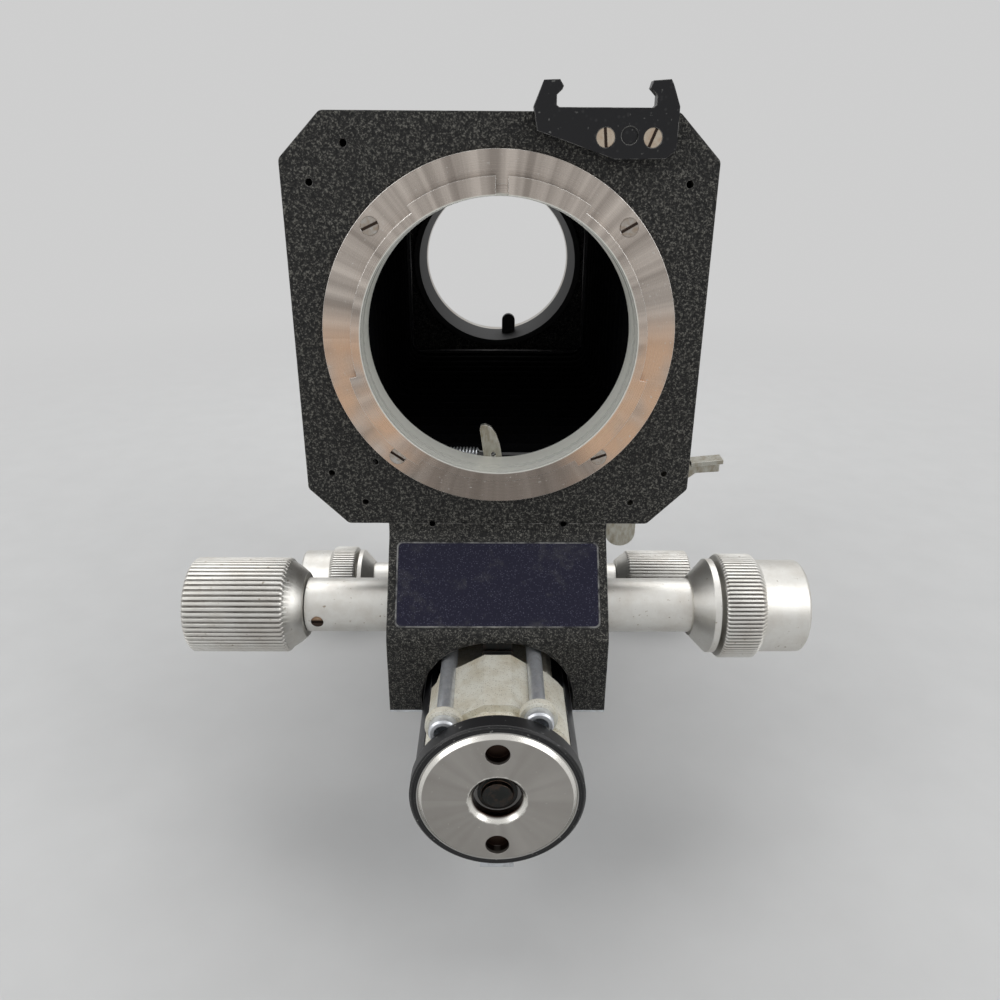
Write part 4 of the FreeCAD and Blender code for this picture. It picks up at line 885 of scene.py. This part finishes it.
def dress_all():
    """Finishes every carried-over solid, and returns the materials that new pieces share."""
    chrome = satin_chrome()
    wrinkle = black_wrinkle()
    satin = black_satin()
    brass = bearing_brass()
    polished = polished_steel()
    lining = bellows_lining()
    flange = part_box("lens_flange")
    camera_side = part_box("camera_mount")
    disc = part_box("cap_disc")
    dress(["carriage_body", "camera_pedestal", "camera_frame", "lens_frame", "standard_block"], wrinkle)
    dress(["rail_tube", "rear_cap", "accessory_clip", "clip_rivet",
           "rear_bellows_plate", "front_bellows_plate", "coupling_lug"], satin)
    dress(["carriage_drive_tube", "carriage_lock_tube", "carriage_lock_collar", "front_drive_tube",
           "front_lock_tube", "front_lock_collar", "carriage_drive_knob", "carriage_lock_knob",
           "front_drive_knob", "front_lock_knob", "breech_ring"], chrome)
    dress(["rail_core"], cast_core())
    dress(["guide_rod_left", "guide_rod_right", "carriage_drive_shaft", "carriage_lock_screw",
           "front_drive_shaft", "front_lock_screw", "wear_strips", "keel_rack",
           "actuator_retainer", "spring_anchor", "return_spring"], polished)
    dress(["bellows"], lining)
    dress(["cap_ring"], turned_black(disc))
    dress(["cap_disc"], satin_disc(disc))
    # the upper rack takes the dark blackened steel so that it reads as the shade under the arch: painted
    # shade
    dress(["cap_screw", "upper_rack"], blackened_steel())
    dress(["flange_screws"], screw_plate("flange_screw_plate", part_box("flange_screws")[0].y,
                                         (0.50, 0.48, 0.45), (0.38, 0.31, 0.25)))
    dress(["clip_screws"], screw_plate("clip_screw_plate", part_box("clip_screws")[0].y,
                                       (0.62, 0.54, 0.44), (0.50, 0.38, 0.28)))
    dress(["tube_screw"], screw_plate("tube_screw_plate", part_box("tube_screw")[0].y,
                                      (0.45, 0.32, 0.22), (0.36, 0.22, 0.14)))
    dress(["gib_left", "gib_right", "tripod_bush", "guide_shoe_left", "guide_shoe_right",
           "front_pinion", "carriage_pinion"], brass)
    dress(["actuator"], plated_lever())
    dress(["lens_flange"], turned_steel("flange_steel", flange, FLANGE_BORE_R))
    dress(["camera_mount"], camera_ring(camera_side, camera_side[1].y - REGISTER_DEPTH))
    return {"chrome": chrome, "polished": polished, "lining": lining}


# Floor, light and camera

def floor():
    """Flat sheet under the object."""
    z = CAD_BOX[0].z
    points = [(x * FLOOR_HALF, y * FLOOR_HALF, z) for x, y in ((-1, -1), (1, -1), (1, 1), (-1, 1))]
    sheet = make_piece("floor", points, [(0, 1, 2, 3)], [floor_paint()])


def area_light(name, place, size, power):
    """Soft rectangular lamp that points at the object."""
    data = bpy.data.lights.new(name, "AREA")
    data.shape = "RECTANGLE"
    data.size = size[0]
    data.size_y = size[1]
    data.energy = power
    lamp = bpy.data.objects.new(name, data)
    lamp.location = place
    lamp.rotation_euler = (LAMP_AIM - Vector(place)).to_track_quat("-Z", "Y").to_euler()
    bpy.context.scene.collection.objects.link(lamp)


def lights():
    area_light("top_light", **TOP_LAMP)
    area_light("left_light", **LEFT_LAMP)
    area_light("right_light", **RIGHT_LAMP)


def world():
    """Faint sky light, with the plain background for the camera and for what metal mirrors."""
    sky = bpy.data.worlds.new("studio")
    sky.use_nodes = True
    tree = sky.node_tree
    soft = tree.nodes["Background"]
    soft.inputs["Color"].default_value = SKY_COLOUR
    soft.inputs["Strength"].default_value = SKY_STRENGTH
    backdrop = tree.nodes.new("ShaderNodeBackground")
    backdrop.inputs["Color"].default_value = (BACKGROUND, BACKGROUND, BACKGROUND, 1.0)
    seen = tree.nodes.new("ShaderNodeLightPath")
    rays = tree.nodes.new("ShaderNodeMath")
    rays.operation = "MAXIMUM"
    mix = tree.nodes.new("ShaderNodeMixShader")
    tree.links.new(seen.outputs["Is Camera Ray"], rays.inputs[0])
    tree.links.new(seen.outputs["Is Glossy Ray"], rays.inputs[1])
    any_ray = tree.nodes.new("ShaderNodeMath")
    any_ray.operation = "MAXIMUM"
    tree.links.new(rays.outputs[0], any_ray.inputs[0])
    tree.links.new(seen.outputs["Is Transmission Ray"], any_ray.inputs[1])
    tree.links.new(any_ray.outputs[0], mix.inputs[0])
    tree.links.new(soft.outputs[0], mix.inputs[1])
    tree.links.new(backdrop.outputs[0], mix.inputs[2])
    tree.links.new(mix.outputs[0], tree.nodes["World Output"].inputs["Surface"])
    bpy.context.scene.world = sky


def camera():
    """The photograph's place and angle."""
    data = bpy.data.cameras.new("camera")
    data.sensor_width = 36.0
    data.lens = CAMERA_LENS
    data.clip_start = 0.01
    eye = bpy.data.objects.new("camera", data)
    turn = Matrix.Rotation(CAMERA_YAW, 4, "Z") @ Matrix.Rotation(math.radians(90) - CAMERA_PITCH, 4, "X")
    eye.matrix_world = Matrix.Translation(CAMERA_PLACE) @ turn @ Matrix.Rotation(CAMERA_ROLL, 4, "Z")
    bpy.context.scene.collection.objects.link(eye)
    bpy.context.scene.camera = eye


def main():
    bpy.context.scene.view_settings.view_transform = "Standard"
    made = dress_all()
    for end in ("front", "carriage"):
        knob(end + "_drive", drive_profile, DRIVE_FLUTES, made["chrome"])
        knob(end + "_lock", lock_profile, LOCK_FLUTES, made["chrome"])
    bellows(bellows_cloth(), made["lining"])
    return_spring(made["polished"])
    name_place(label_rim(), label_enamel())
    floor()
    lights()
    world()
    camera()


main()
